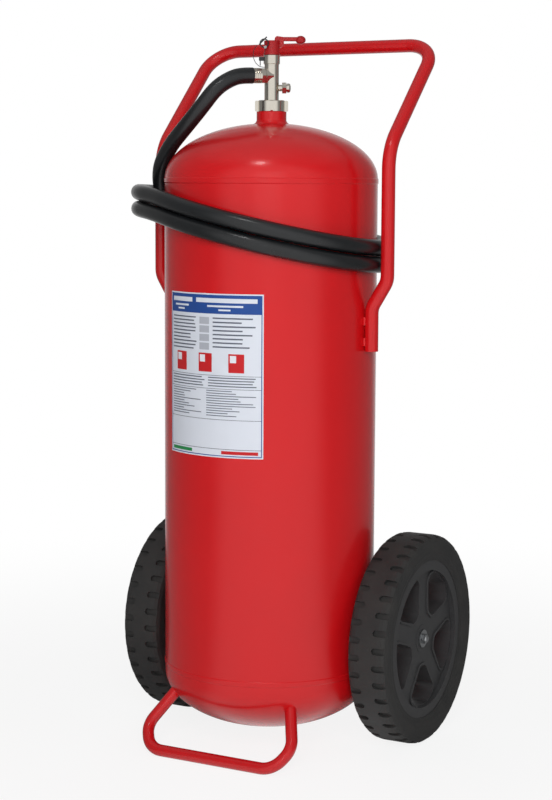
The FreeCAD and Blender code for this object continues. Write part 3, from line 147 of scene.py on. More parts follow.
def enamel(name, code, rough, peel, coat=0.12, depth=0.0004):
    """Gloss enamel. Peel is the width of a wave in millimetres, depth its height in metres."""
    material, tree, shader, spot = new_material(name)
    waves = add(tree, "ShaderNodeTexNoise", {"Vector": spot}, {"Scale": per_mm(peel), "Detail": 1.0})
    drift = add(tree, "ShaderNodeTexNoise", {"Vector": spot}, {"Scale": per_mm(180.0), "Detail": 2.0})
    light = linear(code)
    tint = add(tree, "ShaderNodeMix", {"Factor": drift.outputs["Fac"]}, data_type="RGBA")
    tint.inputs[6].default_value = tuple(c * 0.95 for c in light[:3]) + (1.0,)
    tint.inputs[7].default_value = tuple(min(1.0, c * 1.05) for c in light[:3]) + (1.0,)
    gloss = add(tree, "ShaderNodeMapRange", {"Value": drift.outputs["Fac"]},
                {"To Min": rough * 0.85, "To Max": rough * 1.2})
    bump = add(tree, "ShaderNodeBump", {"Height": waves.outputs["Fac"]},
               {"Strength": 0.06, "Distance": depth})
    tree.links.new(tint.outputs[2], shader.inputs["Base Color"])
    tree.links.new(gloss.outputs["Result"], shader.inputs["Roughness"])
    tree.links.new(bump.outputs["Normal"], shader.inputs["Normal"])
    shader.inputs["IOR"].default_value = 1.45
    shader.inputs["Coat Weight"].default_value = coat
    shader.inputs["Coat Roughness"].default_value = 0.08
    return material


vessel_enamel = enamel("enamel_vessel_red", "D21218", 0.24, 5.0, depth=0.0003)
tube_enamel = enamel("enamel_tube_red", "CC1218", 0.2, 7.0, depth=0.0001)
cast_enamel = enamel("enamel_cast_red", "A61218", 0.34, 1.4, 0.1)
lever_enamel = enamel("enamel_lever_red", "AE1218", 0.36, 1.6, 0.1)

# %% [markdown]
# ### Plated metal
# Nickel on cast brass is warm grey and satin, zinc on steel is a little bluer. Both keep fine marks
# from turning and handling. Those could be scratches in an image, but noise needs no image and has no
# seams: it gives small changes of roughness and a very low bump.

# %% Plated metal


def plated(name, code, rough, grain, depth=0.00006):
    """Plated or bare metal. Grain is the width of a mark in millimetres."""
    material, tree, shader, spot = new_material(name)
    fine = add(tree, "ShaderNodeTexNoise", {"Vector": spot}, {"Scale": per_mm(grain), "Detail": 3.0})
    cloud = add(tree, "ShaderNodeTexNoise", {"Vector": spot}, {"Scale": per_mm(14.0), "Detail": 2.0})
    gloss = add(tree, "ShaderNodeMapRange", {"Value": cloud.outputs["Fac"]},
                {"From Min": 0.3, "From Max": 0.7, "To Min": rough * 0.75, "To Max": rough * 1.35})
    light = linear(code)
    tint = add(tree, "ShaderNodeMix", {"Factor": cloud.outputs["Fac"]}, data_type="RGBA")
    tint.inputs[6].default_value = tuple(c * 0.82 for c in light[:3]) + (1.0,)
    tint.inputs[7].default_value = light
    bump = add(tree, "ShaderNodeBump", {"Height": fine.outputs["Fac"]},
               {"Strength": 0.35, "Distance": depth})
    tree.links.new(tint.outputs[2], shader.inputs["Base Color"])
    tree.links.new(gloss.outputs["Result"], shader.inputs["Roughness"])
    tree.links.new(bump.outputs["Normal"], shader.inputs["Normal"])
    shader.inputs["Metallic"].default_value = 1.0
    return material


nickel = plated("nickel_on_brass_satin", "DED8CC", 0.16, 0.9, 0.00003)
zinc = plated("zinc_on_steel", "A9ABAD", 0.34, 0.8)
spring_steel = plated("spring_steel_wire", "85858A", 0.3, 0.5)
dark_wire = plated("blackened_wire", "4A4A4C", 0.42, 0.5)

# %% [markdown]
# ### Rubber and plastic
# The hose cover is cured in a smooth mould and shines softly. Tyre rubber is matt, with the fine grain
# of its mould and a little pale dust. The rims are moulded polypropylene with a spark-eroded grain. One
# function makes them all, because they differ only in colour, gloss and the size of grain and patches.

# %% Rubber and plastic


def moulded(name, code, pale, rough, grain, depth, patch):
    """Rubber, plastic or powder. Grain and patch are widths in millimetres, pale is the dust's colour."""
    material, tree, shader, spot = new_material(name)
    fine = add(tree, "ShaderNodeTexNoise", {"Vector": spot}, {"Scale": per_mm(grain), "Detail": 3.0})
    dust = add(tree, "ShaderNodeTexNoise", {"Vector": spot},
               {"Scale": per_mm(patch), "Detail": 4.0, "Roughness": 0.6})
    share = add(tree, "ShaderNodeMapRange", {"Value": dust.outputs["Fac"]},
                {"From Min": 0.35, "From Max": 0.75})
    tint = add(tree, "ShaderNodeMix", {"Factor": share.outputs["Result"]}, data_type="RGBA")
    tint.inputs[6].default_value = linear(code)
    tint.inputs[7].default_value = linear(pale)
    gloss = add(tree, "ShaderNodeMapRange", {"Value": share.outputs["Result"]},
                {"To Min": rough * 0.9, "To Max": min(1.0, rough * 1.2)})
    bump = add(tree, "ShaderNodeBump", {"Height": fine.outputs["Fac"]},
               {"Strength": 0.4, "Distance": depth})
    tree.links.new(tint.outputs[2], shader.inputs["Base Color"])
    tree.links.new(gloss.outputs["Result"], shader.inputs["Roughness"])
    tree.links.new(bump.outputs["Normal"], shader.inputs["Normal"])
    return material


hose_rubber = moulded("hose_cover_rubber", "121416", "1C1E20", 0.3, 1.8, 0.00008, 90.0)
tyre_rubber = moulded("tyre_rubber", "262626", "363534", 0.72, 1.2, 0.0002, 45.0)
seal_rubber = moulded("seal_rubber", "161616", "222222", 0.6, 0.8, 0.00005, 10.0)
rim_plastic = moulded("rim_polypropylene", "323233", "3B3B3C", 0.5, 0.9, 0.00012, 80.0)
bush_plastic = moulded("bush_nylon", "D9D6CC", "E4E1D8", 0.5, 0.9, 0.00005, 20.0)
siphon_plastic = moulded("siphon_pvc", "E6E6E2", "EEEEEA", 0.4, 1.0, 0.00005, 60.0)
gasket_fibre = moulded("gasket_fibre", "5A2A22", "6A342A", 0.8, 0.6, 0.0001, 8.0)
powder = moulded("extinguishing_powder", "D6D8E0", "E2E4EA", 0.95, 2.0, 0.0006, 30.0)
gun_coat = moulded("black_coated_aluminium", "1A1A1C", "242426", 0.42, 0.7, 0.00008, 30.0)

# %% [markdown]
# ### Printed film
# The label is printed on a self-adhesive film with a satin top. One picture could hold all the inks, but
# each ink is a material of its own here, so that its bars are real geometry with clean edges.

# %% Printed film


INK_ROUGH = 0.42


def ink(name, code):
    """One ink or bare film, a little uneven in colour and gloss."""
    material, tree, shader, spot = new_material(name)
    cloud = add(tree, "ShaderNodeTexNoise", {"Vector": spot}, {"Scale": per_mm(25.0), "Detail": 2.0})
    light = linear(code)
    tint = add(tree, "ShaderNodeMix", {"Factor": cloud.outputs["Fac"]}, data_type="RGBA")
    tint.inputs[6].default_value = tuple(c * 0.96 for c in light[:3]) + (1.0,)
    tint.inputs[7].default_value = light
    gloss = add(tree, "ShaderNodeMapRange", {"Value": cloud.outputs["Fac"]},
                {"To Min": INK_ROUGH * 0.9, "To Max": INK_ROUGH * 1.1})
    tree.links.new(tint.outputs[2], shader.inputs["Base Color"])
    tree.links.new(gloss.outputs["Result"], shader.inputs["Roughness"])
    return material


film_white = ink("film_white", "E2E7F1")
film_bare = ink("film_bare_box", "EAEDF4")
ink_blue = ink("ink_blue", "1F4A94")
ink_grey = ink("ink_grey", "5E6472")
ink_pale = ink("ink_pale_grey", "B4B8C2")
ink_red = ink("ink_red", "C81A20")
ink_green = ink("ink_green", "1F8A4A")

FINISHES = {
    "red_enamel": vessel_enamel, "red_tube_enamel": tube_enamel, "red_cast": cast_enamel,
    "gun_lever_red": lever_enamel, "nickel_brass": nickel, "zinc_steel": zinc, "spring_steel": spring_steel,
    "black_wire": dark_wire, "hose_rubber": hose_rubber, "tyre_rubber": tyre_rubber,
    "seal_rubber": seal_rubber, "rim_plastic": rim_plastic, "bush_plastic": bush_plastic,
    "siphon_plastic": siphon_plastic, "gasket_fibre": gasket_fibre, "powder": powder,
    "gun_metal": gun_coat, "label_film": film_white}
slot_of = {part["node"]: part["material_slot"] for part in frame["record"]["subparts"]}
for node_name, node in nodes.items():
    node.data.materials.clear()
    node.data.materials.append(FINISHES[slot_of[node_name]])
print("finishes:", len(FINISHES))

# %% [markdown]
# ## Small helpers for pieces
# A finished piece gets its finish, rides on a body and hides the CAD node it stands for. Each call
# could be written out for every piece, but short functions keep the cells below to their shapes.

# %% Piece helpers
BODY_OF = {}
for body_name, members in frame["record"]["behaviour"]["bodies"].items():
    for member in members:
        BODY_OF[member] = body_name


def piece_from(name, mesh):
    """An object in the scene, at the origin, that holds this mesh or curve."""
    piece = bpy.data.objects.new(name, mesh)
    bpy.context.scene.collection.objects.link(piece)
    return piece


def soften(mesh, degrees):
    """Smooth shading, with edges left sharp where two faces meet at more than this angle."""
    mesh.shade_smooth()
    mesh.set_sharp_from_angle(angle=math.radians(degrees))


def stand_for(piece, node_name, finish=None):
    """The piece takes the place and body of a CAD node, and the given finish if there is one."""
    if finish is not None:
        piece.data.materials.clear()
        piece.data.materials.append(finish)
    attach(piece, BODY_OF[node_name])
    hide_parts(node_name)
    return piece


def ride_with(piece, node_name):
    """The piece is an addition to a CAD node, on the same body."""
    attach(piece, BODY_OF[node_name])
    return piece


# %% [markdown]
# ## Hose
# One hose runs from the valve over the dome's edge, twice round the vessel above the label and down to
# the discharge gun at the back. A hose is stiff, so its line is a NURBS curve with few, wide points:
# order 3 gives smooth arcs between them. The same points made the solid in CAD. On the winding a loop
# sets them, and each lies a little outside the turn, because the curve cuts inside its points.

# %% Hose sizes and the winding
VESSEL_R = 200.0
BOTTOM_SEAM, TOP_SEAM = 153.0, 1069.0
HOSE_D = 30.0
HOSE_LIE = 216.0
LEG_BULGE = 57.0
BULGE_HALF_TURN = 54.0
LEG_TRAVEL = 540.0
FIRST_BULGE = 90.0
WRAP_START, WRAP_END = 25.0, 720.0
WRAP_TILT, WRAP_SKEW = 49.0, 10.5
WRAP_BASES = ((25.0, 933.0), (180.0, 966.0), (360.0, 966.0), (540.0, 997.2), (720.0, 997.2))
WRAP_COUNT = 47


def wrap_spot(travel, outward=1.0):
    """A point of the winding: travel grows from the left leg round the back."""
    base = WRAP_BASES[-1][1]
    for (a, low), (b, high) in zip(WRAP_BASES, WRAP_BASES[1:]):
        if travel <= b:
            share = max(0.0, (travel - a) / (b - a))
            base = low + (high - low) * (1 - math.cos(math.pi * share)) / 2
            break
    azimuth = math.radians(180.0 - travel)
    off = abs((LEG_TRAVEL - travel) % 360.0 - 180.0)
    radius = HOSE_LIE
    if travel > FIRST_BULGE and off < BULGE_HALF_TURN:
        radius += LEG_BULGE * (1 + math.cos(math.pi * off / BULGE_HALF_TURN)) / 2
    height = base - WRAP_TILT * math.cos(azimuth) - WRAP_SKEW * math.sin(azimuth)
    return (radius * outward * math.cos(azimuth), radius * outward * math.sin(azimuth), height)


OUTLET_END = (-24.426, -29.110, 1263.0)
AFTER_OUTLET = (-37.282, -44.430, 1263.0)
GUN_RUN = ((-109.0, 224.0, 790.0), (-109.0, 224.0, 745.0))
LEAVE_RUN, TANGENT_STEP = 34.0, 0.02
DROP_STATIONS = ((230.2, 0.3997, 188.2), (230.5, 0.5527, 169.6), (227.2, 0.6839, 133.4),
                 (217.9, 0.8173, 96.6), (206.1, 0.9609, 62.7), (197.4, 1.098, 17.6), (189, 1.0995, -39.3),
                 (175.3, 1.0871, -78.7), (165.2, 1.0971, -90.6))
TAIL_STATIONS = ((162.6, 1.3727, -24.4), (150.4, 1.335, -35.8), (138.5, 1.2893, -68.8),
                 (129.1, 1.283, -119), (122.9, 1.2801, -171), (118.8, 1.2666, -224))


def station_spots(stations):
    """Points from a bearing, a distance from the axis as a share of the vessel's radius and a height."""
    spots = []
    for bearing, share, rise in stations:
        turn = math.radians(bearing)
        away = VESSEL_R * share
        spots.append((away * math.cos(turn), away * math.sin(turn), TOP_SEAM + rise))
    return spots


# %% The hose's line
route = [OUTLET_END, AFTER_OUTLET] + station_spots(DROP_STATIONS)
step = (WRAP_END - WRAP_START) / WRAP_COUNT
outward = 1 / math.cos(math.radians(step / 2))
for i in range(WRAP_COUNT + 1):
    route.append(wrap_spot(WRAP_START + step * i, outward))
before, last = Vector(wrap_spot(WRAP_END - TANGENT_STEP)), Vector(wrap_spot(WRAP_END))
leave = last + (last - before).normalized() * LEAVE_RUN
route += [tuple(leave)] + station_spots(TAIL_STATIONS) + list(GUN_RUN)
print("hose points:", len(route))

# %% The hose
hose_curve = bpy.data.curves.new("hose", "CURVE")
hose_curve.dimensions = "3D"
spline = hose_curve.splines.new("NURBS")
spline.points.add(len(route) - 1)
for point, spot in zip(spline.points, route):
    point.co = (*place(*spot), 1.0)
spline.order_u = 3
spline.use_endpoint_u = True
spline.resolution_u = 8
hose_curve.bevel_depth = HOSE_D / 2 * MM
hose_curve.bevel_resolution = 8
hose_curve.use_fill_caps = True
hose_curve.materials.append(hose_rubber)
hose = piece_from("hose", hose_curve)
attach(hose, "root")
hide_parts("hose_drop", "hose_winding", "hose_tail")
print("hose diameter in mm:", HOSE_D)

# %% [markdown]
# ## Vessel
# The barrel is a rolled tube and the domes are pressed, so each is a profile turned about the axis. A
# turned mesh with many steps keeps the long highlights straight, which loose triangles would not.

# %% Vessel
TURN_STEPS, CURVE_STEPS = 192, 44
SHARP_TURN = 38.0
WALL, DOME_RISE = 3.0, 104.0
BOTTOM_EQUATOR, TOP_EQUATOR = 136.0, 1072.0
NECK_R = 28.0
SEAM_HALF, LAP_LENGTH, LAP_GAP = 2.0, 20.0, 0.05
POLE_R = 0.01


def turned(name, profile):
    """A closed ring of profile corners (radius, height) turned about the vessel's axis."""
    made = bmesh.new()
    rings = []
    for radius, height in profile:
        if radius < POLE_R:
            rings.append([made.verts.new(place(0, 0, height))])
            continue
        ring = []
        for i in range(TURN_STEPS):
            angle = 2 * math.pi * i / TURN_STEPS
            ring.append(made.verts.new(place(radius * math.cos(angle), radius * math.sin(angle), height)))
        rings.append(ring)
    for ring, following in zip(rings, rings[1:] + rings[:1]):
        if len(ring) == 1 and len(following) == 1:
            continue
        for i in range(TURN_STEPS):
            j = (i + 1) % TURN_STEPS
            if len(ring) == 1:
                made.faces.new((ring[0], following[j], following[i]))
            elif len(following) == 1:
                made.faces.new((ring[i], ring[j], following[0]))
            else:
                made.faces.new((ring[i], ring[j], following[j], following[i]))
    bmesh.ops.recalc_face_normals(made, faces=made.faces)
    mesh = bpy.data.meshes.new(name)
    made.to_mesh(mesh)
    made.free()
    soften(mesh, SHARP_TURN)
    return piece_from(name, mesh)


def dome_curve(equator, rise, radius, sign, inner_end):
    """Points of half an ellipse from the equator to the pole or to the neck."""
    last = math.acos(inner_end / radius)
    points = []
    for i in range(CURVE_STEPS + 1):
        t = last * i / CURVE_STEPS
        points.append((radius * math.cos(t), equator + sign * rise * math.sin(t)))
    return points


# %% The barrel and its domes
inner = VESSEL_R - WALL
barrel_low, barrel_high = BOTTOM_SEAM + SEAM_HALF, TOP_SEAM - SEAM_HALF
barrel = turned("barrel", [(VESSEL_R, barrel_low), (VESSEL_R, barrel_high), (inner, barrel_high),
                           (inner, barrel_low)])
stand_for(barrel, "vessel_barrel", vessel_enamel)
lap = inner - LAP_GAP
DOMES = (("top_dome", "vessel_top_dome", TOP_EQUATOR, TOP_SEAM, 1, NECK_R),
         ("bottom_dome", "vessel_bottom_dome", BOTTOM_EQUATOR, BOTTOM_SEAM, -1, 0.0))
for name, node_name, equator, seam, sign, end in DOMES:
    skirt = seam + sign * SEAM_HALF
    lap_end = skirt - sign * LAP_LENGTH
    outside = dome_curve(equator, DOME_RISE, VESSEL_R, sign, end)
    inside = dome_curve(equator, DOME_RISE - WALL, inner, sign, end)
    profile = outside + inside[::-1] + [(lap - WALL, skirt), (lap - WALL, lap_end), (lap, lap_end),
                                        (lap, skirt), (VESSEL_R, skirt)]
    stand_for(turned(name, profile), node_name, vessel_enamel)
print("vessel turned in", TURN_STEPS, "steps")

# %% [markdown]
# ## Label
# The plate under the hose is a printed film. On this part it carries no words: bars stand for the
# lines of print. One Geometry Nodes tree lays a column of bars out flat and then bends it round the
# vessel: x becomes the angle, y the height above the metal. Frames and squares are bars too.

# %% The tree's sizes and inputs
LABEL_TURN = math.radians(-94.8)
LABEL_W, LABEL_H, LABEL_TOP = 215.2, 297.0, 867.0
LABEL_R = 200.12
bars = bpy.data.node_groups.new("printed_bars", "GeometryNodeTree")
BAR_INPUTS = (("Left", "NodeSocketFloat", 0.0), ("Top", "NodeSocketFloat", 0.0),
              ("Length", "NodeSocketFloat", 10.0), ("Height", "NodeSocketFloat", 2.0),
              ("Rows", "NodeSocketInt", 1), ("Pitch", "NodeSocketFloat", 5.0),
              ("Ragged", "NodeSocketFloat", 0.0), ("Seed", "NodeSocketInt", 1),
              ("Radius", "NodeSocketFloat", 200.0), ("Thick", "NodeSocketFloat", 0.1),
              ("Ink", "NodeSocketMaterial", None))
bars.interface.new_socket("Geometry", in_out="INPUT", socket_type="NodeSocketGeometry")
for label, kind, default in BAR_INPUTS:
    socket = bars.interface.new_socket(label, in_out="INPUT", socket_type=kind)
    if default is not None:
        socket.default_value = default
bars.interface.new_socket("Geometry", in_out="OUTPUT", socket_type="NodeSocketGeometry")
given = add(bars, "NodeGroupInput").outputs
print("bar inputs:", len(BAR_INPUTS))

# %% One bar, hung from its top left corner
size = add(bars, "ShaderNodeCombineXYZ", {"X": given["Length"], "Y": given["Thick"], "Z": given["Height"]})
bar = add(bars, "GeometryNodeMeshCube", {"Size": size.outputs[0]}, {"Vertices X": 14})
half = add(bars, "ShaderNodeVectorMath", {0: size.outputs[0]}, operation="SCALE")
half.inputs["Scale"].default_value = 0.5
drop = add(bars, "ShaderNodeVectorMath", {0: half.outputs[0]}, {1: (1.0, 1.0, -1.0)}, operation="MULTIPLY")
shifted = add(bars, "GeometryNodeTransform",
              {"Geometry": bar.outputs["Mesh"], "Translation": drop.outputs[0]})

# %% A column of bars, each cut to a random length
start = add(bars, "ShaderNodeCombineXYZ", {"X": given["Left"]})
fall = add(bars, "ShaderNodeMath", {0: given["Top"]}, {1: -1.0}, operation="MULTIPLY")
bars.links.new(fall.outputs[0], start.inputs["Z"])
down = add(bars, "ShaderNodeMath", {0: given["Pitch"]}, {1: -1.0}, operation="MULTIPLY")
offset = add(bars, "ShaderNodeCombineXYZ", {"Z": down.outputs[0]})
column = add(bars, "GeometryNodeMeshLine", {"Count": given["Rows"], "Start Location": start.outputs[0],
                                            "Offset": offset.outputs[0]})
least = add(bars, "ShaderNodeMath", {1: given["Ragged"]}, {0: 1.0}, operation="SUBTRACT")
share = add(bars, "FunctionNodeRandomValue", {"Seed": given["Seed"]}, data_type="FLOAT")
bars.links.new(least.outputs[0], share.inputs[2])
share.inputs[3].default_value = 1.0
stretch = add(bars, "ShaderNodeCombineXYZ", {"X": share.outputs[1]}, {"Y": 1.0, "Z": 1.0})
laid = add(bars, "GeometryNodeInstanceOnPoints",
           {"Points": column.outputs["Mesh"], "Instance": shifted.outputs[0], "Scale": stretch.outputs[0]})
real = add(bars, "GeometryNodeRealizeInstances", {"Geometry": laid.outputs[0]})

# %% The bend round the vessel
where = add(bars, "GeometryNodeInputPosition")
apart = add(bars, "ShaderNodeSeparateXYZ", {0: where.outputs[0]})
arc = add(bars, "ShaderNodeMath", {0: apart.outputs["X"]}, {1: LABEL_W / 2}, operation="SUBTRACT")
angle = add(bars, "ShaderNodeMath", {0: arc.outputs[0]}, {1: VESSEL_R}, operation="DIVIDE")
azimuth = add(bars, "ShaderNodeMath", {0: angle.outputs[0]}, {1: LABEL_TURN}, operation="ADD")
reach = add(bars, "ShaderNodeMath", {0: apart.outputs["Y"], 1: given["Radius"]}, operation="ADD")
cosine = add(bars, "ShaderNodeMath", {0: azimuth.outputs[0]}, operation="COSINE")
sine = add(bars, "ShaderNodeMath", {0: azimuth.outputs[0]}, operation="SINE")
bent_x = add(bars, "ShaderNodeMath", {0: reach.outputs[0], 1: cosine.outputs[0]}, operation="MULTIPLY")
bent_y = add(bars, "ShaderNodeMath", {0: reach.outputs[0], 1: sine.outputs[0]}, operation="MULTIPLY")
on_drum = add(bars, "ShaderNodeCombineXYZ", {"X": bent_x.outputs[0], "Y": bent_y.outputs[0],
                                             "Z": apart.outputs["Z"]})
raised = add(bars, "ShaderNodeVectorMath", {0: on_drum.outputs[0]}, {1: (0.0, AXIS_Y, LABEL_TOP)},
             operation="ADD")
metres = add(bars, "ShaderNodeVectorMath", {0: raised.outputs[0]}, operation="SCALE")
metres.inputs["Scale"].default_value = MM
bent = add(bars, "GeometryNodeSetPosition", {"Geometry": real.outputs[0], "Position": metres.outputs[0]})
inked = add(bars, "GeometryNodeSetMaterial", {"Geometry": bent.outputs[0], "Material": given["Ink"]})
add(bars, "NodeGroupOutput", {0: inked.outputs[0]})
SOCKETS = {item.name: item.identifier for item in bars.interface.items_tree if item.in_out == "INPUT"}
print("bar tree nodes:", len(bars.nodes))

# %% Pieces from the tree
FIRST_SEED, PRINT_SHARP = 3, 30.0


def printed(name, finish, rows, radius, thick):
    """All bars of one ink as one mesh. A row is left, top, length, height, rows, pitch and ragged share."""
    whole = bmesh.new()
    for number, (left, top, length, height, count, pitch, ragged) in enumerate(rows):
        carrier = piece_from(name + "_carrier", bpy.data.meshes.new(name + "_carrier"))
        nodes_modifier = carrier.modifiers.new("bars", "NODES")
        nodes_modifier.node_group = bars
        values = {"Left": left, "Top": top, "Length": length, "Height": height, "Rows": count,
                  "Pitch": pitch, "Ragged": ragged, "Seed": number + FIRST_SEED, "Radius": radius,
                  "Thick": thick, "Ink": finish}
        for key, value in values.items():
            nodes_modifier[SOCKETS[key]] = value
        evaluated = carrier.evaluated_get(bpy.context.evaluated_depsgraph_get())
        flat = bpy.data.meshes.new_from_object(evaluated)
        whole.from_mesh(flat)
        bpy.data.objects.remove(carrier)
    bmesh.ops.recalc_face_normals(whole, faces=whole.faces)
    mesh = bpy.data.meshes.new(name)
    whole.to_mesh(mesh)
    whole.free()
    mesh.materials.append(finish)
    soften(mesh, PRINT_SHARP)
    return piece_from(name, mesh)


# %% [markdown]
# ### The sheet and its inks
# The film is one wide bar, and each ink is a set of rows that lie on it. The layout follows the usual
# order of such a label, with a heading, lines of print, squares and a foot, and says nothing. The inks
# are drawn 0.14 mm thick and sunk a little into the film, far thicker than print, so that they don't
# flicker with it.

# %% The sheet and its inks
W, H = LABEL_W, LABEL_H
LABEL_THICK = 0.58
PRINT_SINK, PRINT_LIFT = 0.04, 0.1
PRINT_R = LABEL_R + LABEL_THICK - PRINT_SINK
PRINT_T = 0.14
sheet = printed("label_sheet", film_white, [(0, 0, W, H, 1, 1, 0)], LABEL_R, LABEL_THICK)
stand_for(sheet, "label_plate")
PRINTS = (
    ("label_blue", ink_blue, [(2.4, 2.4, W - 4.8, 34, 1, 1, 0), (2.4, 30, 1.6, H - 33, 1, 1, 0),
                              (W - 4, 30, 1.6, H - 33, 1, 1, 0), (2.4, H - 4, W - 4.8, 1.6, 1, 1, 0)], 0.0),
    ("label_heading", film_white, [(10, 8.5, 60, 8, 1, 1, 0), (80, 8.5, 124, 8, 1, 1, 0),
                                   (18, 21, 42, 3.4, 1, 1, 0), (106, 21, 72, 3.4, 1, 1, 0),
                                   (28, 28, 20, 3.0, 1, 1, 0), (130, 28, 24, 3.0, 1, 1, 0)], PRINT_LIFT),
    ("label_lines", ink_grey, [(9, 43, 72, 2.3, 10, 6.3, 0.3), (118, 43, 88, 2.6, 8, 7.4, 0.4),
                               (8, 151, 92, 1.9, 4, 5.0, 0.15), (108, 151, 98, 1.9, 4, 5.0, 0.15),
                               (9, 175, 84, 1.5, 11, 4.5, 0.6), (104, 175, 98, 1.5, 11, 4.5, 0.6),
                               (4, 147.5, W - 8, 0.9, 1, 1, 0), (4, 171.5, W - 8, 0.9, 1, 1, 0),
                               (4, 227.5, W - 8, 0.9, 1, 1, 0), (4, 281, W - 8, 0.9, 1, 1, 0)], 0.0),
    ("label_signs", ink_pale, [(88, 43, 22, 12.5, 4, 15.5, 0)], 0.0),
    ("label_squares", ink_red, [(24, 108, 30, 34, 1, 1, 0), (86, 108, 30, 34, 1, 1, 0),
                                (150, 108, 30, 34, 1, 1, 0), (136, 284.5, 70, 6, 1, 1, 0)], 0.0),
    ("label_square_fields", film_bare, [(27, 111, 12, 13, 1, 1, 0), (89, 111, 12, 13, 1, 1, 0),
                                        (153, 111, 12, 13, 1, 1, 0)], PRINT_LIFT),
    ("label_green", ink_green, [(9, 284.5, 60, 6, 1, 1, 0)], 0.0))
for name, finish, rows, lift in PRINTS:
    ride_with(printed(name, finish, rows, PRINT_R + lift, PRINT_T), "label_plate")
print("label inks:", len(PRINTS))

# %% [markdown]
# ## Floor and light
# The photograph has a white ground and soft light from the camera's side: the vessel is brightest in
# the middle and falls off to both edges. One large soft lamp in front does that, weak ones at the right,
# above and behind lift the other sides, and a low even world fills in. An image of a studio could light
# it too, but lamps are easier to set one by one.
#
# The soft lamps are hidden from mirrors. What the metal mirrors is drawn by one function of direction:
# white in front, nearly white far behind, grey above and darker at the sides. That gives the nickel its
# bright middle and dark edges, and the floor and the world share it.

# %% What mirrors see
SIDE_GREY, OVER_GREY, BEHIND_GREY = 0.24, 0.4, 0.85
camera_way = (math.sin(CAMERA_TURN), -math.cos(CAMERA_TURN), 0.0)


def surround(tree, way):
    """How white the studio is in a direction, from 0 to 1."""
    facing = add(tree, "ShaderNodeVectorMath", {0: way}, {1: camera_way}, operation="DOT_PRODUCT")
    before = add(tree, "ShaderNodeMapRange", {"Value": facing.outputs["Value"]},
                 {"From Min": 0.4, "From Max": 0.78, "To Min": SIDE_GREY, "To Max": 1.0},
                 interpolation_type="SMOOTHSTEP")
    behind = add(tree, "ShaderNodeMapRange", {"Value": facing.outputs["Value"]},
                 {"From Min": -0.76, "From Max": -0.98, "To Min": 0.0, "To Max": BEHIND_GREY})
    side = add(tree, "ShaderNodeMath", {0: before.outputs["Result"], 1: behind.outputs["Result"]},
               operation="MAXIMUM")
    axes = add(tree, "ShaderNodeSeparateXYZ", {0: way})
    over = add(tree, "ShaderNodeMapRange", {"Value": axes.outputs["Z"]},
               {"From Min": 0.45, "From Max": 0.8, "To Max": OVER_GREY}, interpolation_type="SMOOTHSTEP")
    return add(tree, "ShaderNodeMath", {0: side.outputs[0], 1: over.outputs["Result"]}, operation="MAXIMUM")


# %% [markdown]
# ### Floor
# The floor is a wide matt disc. The camera sees it mixed with plain white, more so far from the part, so
# that it keeps the soft shadow near the wheels and has no visible edge.

# %% Floor
FLOOR_R = 9.0
made = bmesh.new()
bmesh.ops.create_circle(made, cap_ends=True, segments=96, radius=FLOOR_R)
floor_mesh = bpy.data.meshes.new("floor")
made.to_mesh(floor_mesh)
made.free()
floor = piece_from("floor", floor_mesh)
floor_paint, tree, shader, spot = new_material("floor_paint")
shader.inputs["Base Color"].default_value = linear("F4F4F4")
shader.inputs["Roughness"].default_value = 0.9
length = add(tree, "ShaderNodeVectorMath", {0: spot}, operation="LENGTH")
far = add(tree, "ShaderNodeMapRange", {"Value": length.outputs["Value"]},
          {"From Min": 0.5, "From Max": 2.2}, interpolation_type="SMOOTHSTEP")
path = add(tree, "ShaderNodeLightPath")
seen = add(tree, "ShaderNodeMath", {0: path.outputs["Is Camera Ray"], 1: path.outputs["Is Glossy Ray"]},
           operation="ADD", use_clamp=True)
faded = add(tree, "ShaderNodeMapRange", {"Value": far.outputs["Result"]}, {"To Min": 0.86, "To Max": 1.0})
white_share = add(tree, "ShaderNodeMath", {0: faded.outputs["Result"], 1: seen.outputs[0]},
                  operation="MULTIPLY")
outward_way = add(tree, "ShaderNodeVectorMath", {0: spot}, operation="NORMALIZE")
mirrored = surround(tree, outward_way.outputs["Vector"])
shown = add(tree, "ShaderNodeMix", {"Factor": path.outputs["Is Camera Ray"], "A": mirrored.outputs[0]},
            {"B": 1.0}, data_type="FLOAT")
glow = add(tree, "ShaderNodeEmission", {"Strength": shown.outputs["Result"]})
blend = add(tree, "ShaderNodeMixShader",
            {0: white_share.outputs[0], 1: shader.outputs[0], 2: glow.outputs[0]})
tree.links.new(blend.outputs[0], tree.nodes["Material Output"].inputs["Surface"])
floor_mesh.materials.append(floor_paint)
print("floor radius in metres:", FLOOR_R)

# %% [markdown]
# ### World
# One background could serve every ray, but then a white ground would also flood the part with light.
# Light Path tells the rays apart: the camera sees white, mirrors see the studio and the rest get a low
# even fill.

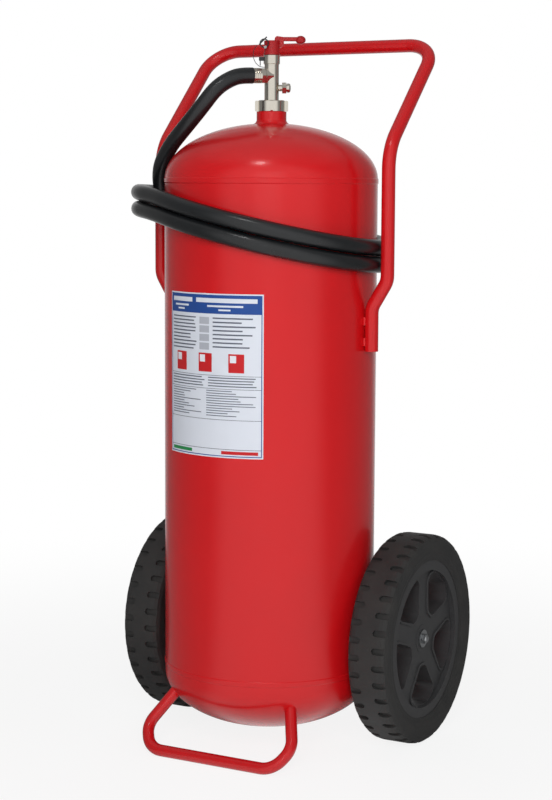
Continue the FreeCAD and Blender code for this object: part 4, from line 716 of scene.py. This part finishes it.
# %% World
WORLD_FILL = 0.15
world = bpy.data.worlds.new("studio")
bpy.context.scene.world = world
world.use_nodes = True
tree = world.node_tree
tree.nodes.clear()
sky = add(tree, "ShaderNodeTexCoord")
mirrored = surround(tree, sky.outputs["Generated"])
path = add(tree, "ShaderNodeLightPath")
seen = add(tree, "ShaderNodeMath",
           {0: path.outputs["Is Camera Ray"], 1: path.outputs["Is Transmission Ray"]},
           operation="ADD", use_clamp=True)
soft = add(tree, "ShaderNodeMix", {"Factor": path.outputs["Is Glossy Ray"], "B": mirrored.outputs[0]},
           {"A": WORLD_FILL}, data_type="FLOAT")
level = add(tree, "ShaderNodeMix", {"Factor": seen.outputs[0], "A": soft.outputs["Result"]}, {"B": 1.0},
            data_type="FLOAT")
ground = add(tree, "ShaderNodeBackground", {"Strength": level.outputs["Result"]})
ground.inputs["Color"].default_value = (1.0, 1.0, 1.0, 1.0)
add(tree, "ShaderNodeOutputWorld", {"Surface": ground.outputs[0]})
print("world fill:", WORLD_FILL)

# %% [markdown]
# ### Lamps
# A row is a name, a place, a width, a power in watts, and whether it lights surfaces. The last lamp is
# small and only mirrors show it: it sets the short glints on the bent tube, the dome and the hose.

# %% Lamps
LAMPS = (("front_softbox", (1.55, -3.1, 1.8), 1.7, 80.0, True),
         ("right_softbox", (3.2, 0.2, 1.6), 1.4, 6.0, True),
         ("top_softbox", (-0.2, -0.6, 3.6), 1.8, 12.0, True),
         ("back_softbox", (-1.45, 3.1, 1.8), 1.7, 24.0, True),
         ("glint", (0.4, -1.7, 3.4), 0.3, 7.0, False))
LAMP_AIM = Vector((0.0, 0.0, 0.65))
for name, spot, wide, watts, lights_up in LAMPS:
    lamp_data = bpy.data.lights.new(name, "AREA")
    lamp_data.shape = "SQUARE"
    lamp_data.size = wide
    lamp_data.energy = watts
    lamp = bpy.data.objects.new(name, lamp_data)
    lamp.location = spot
    lamp.visible_diffuse = lights_up
    lamp.visible_glossy = not lights_up
    aim = LAMP_AIM - Vector(spot)
    lamp.rotation_euler = aim.to_track_quat("-Z", "Y").to_euler()
    bpy.context.scene.collection.objects.link(lamp)
print("lamps:", len(LAMPS))
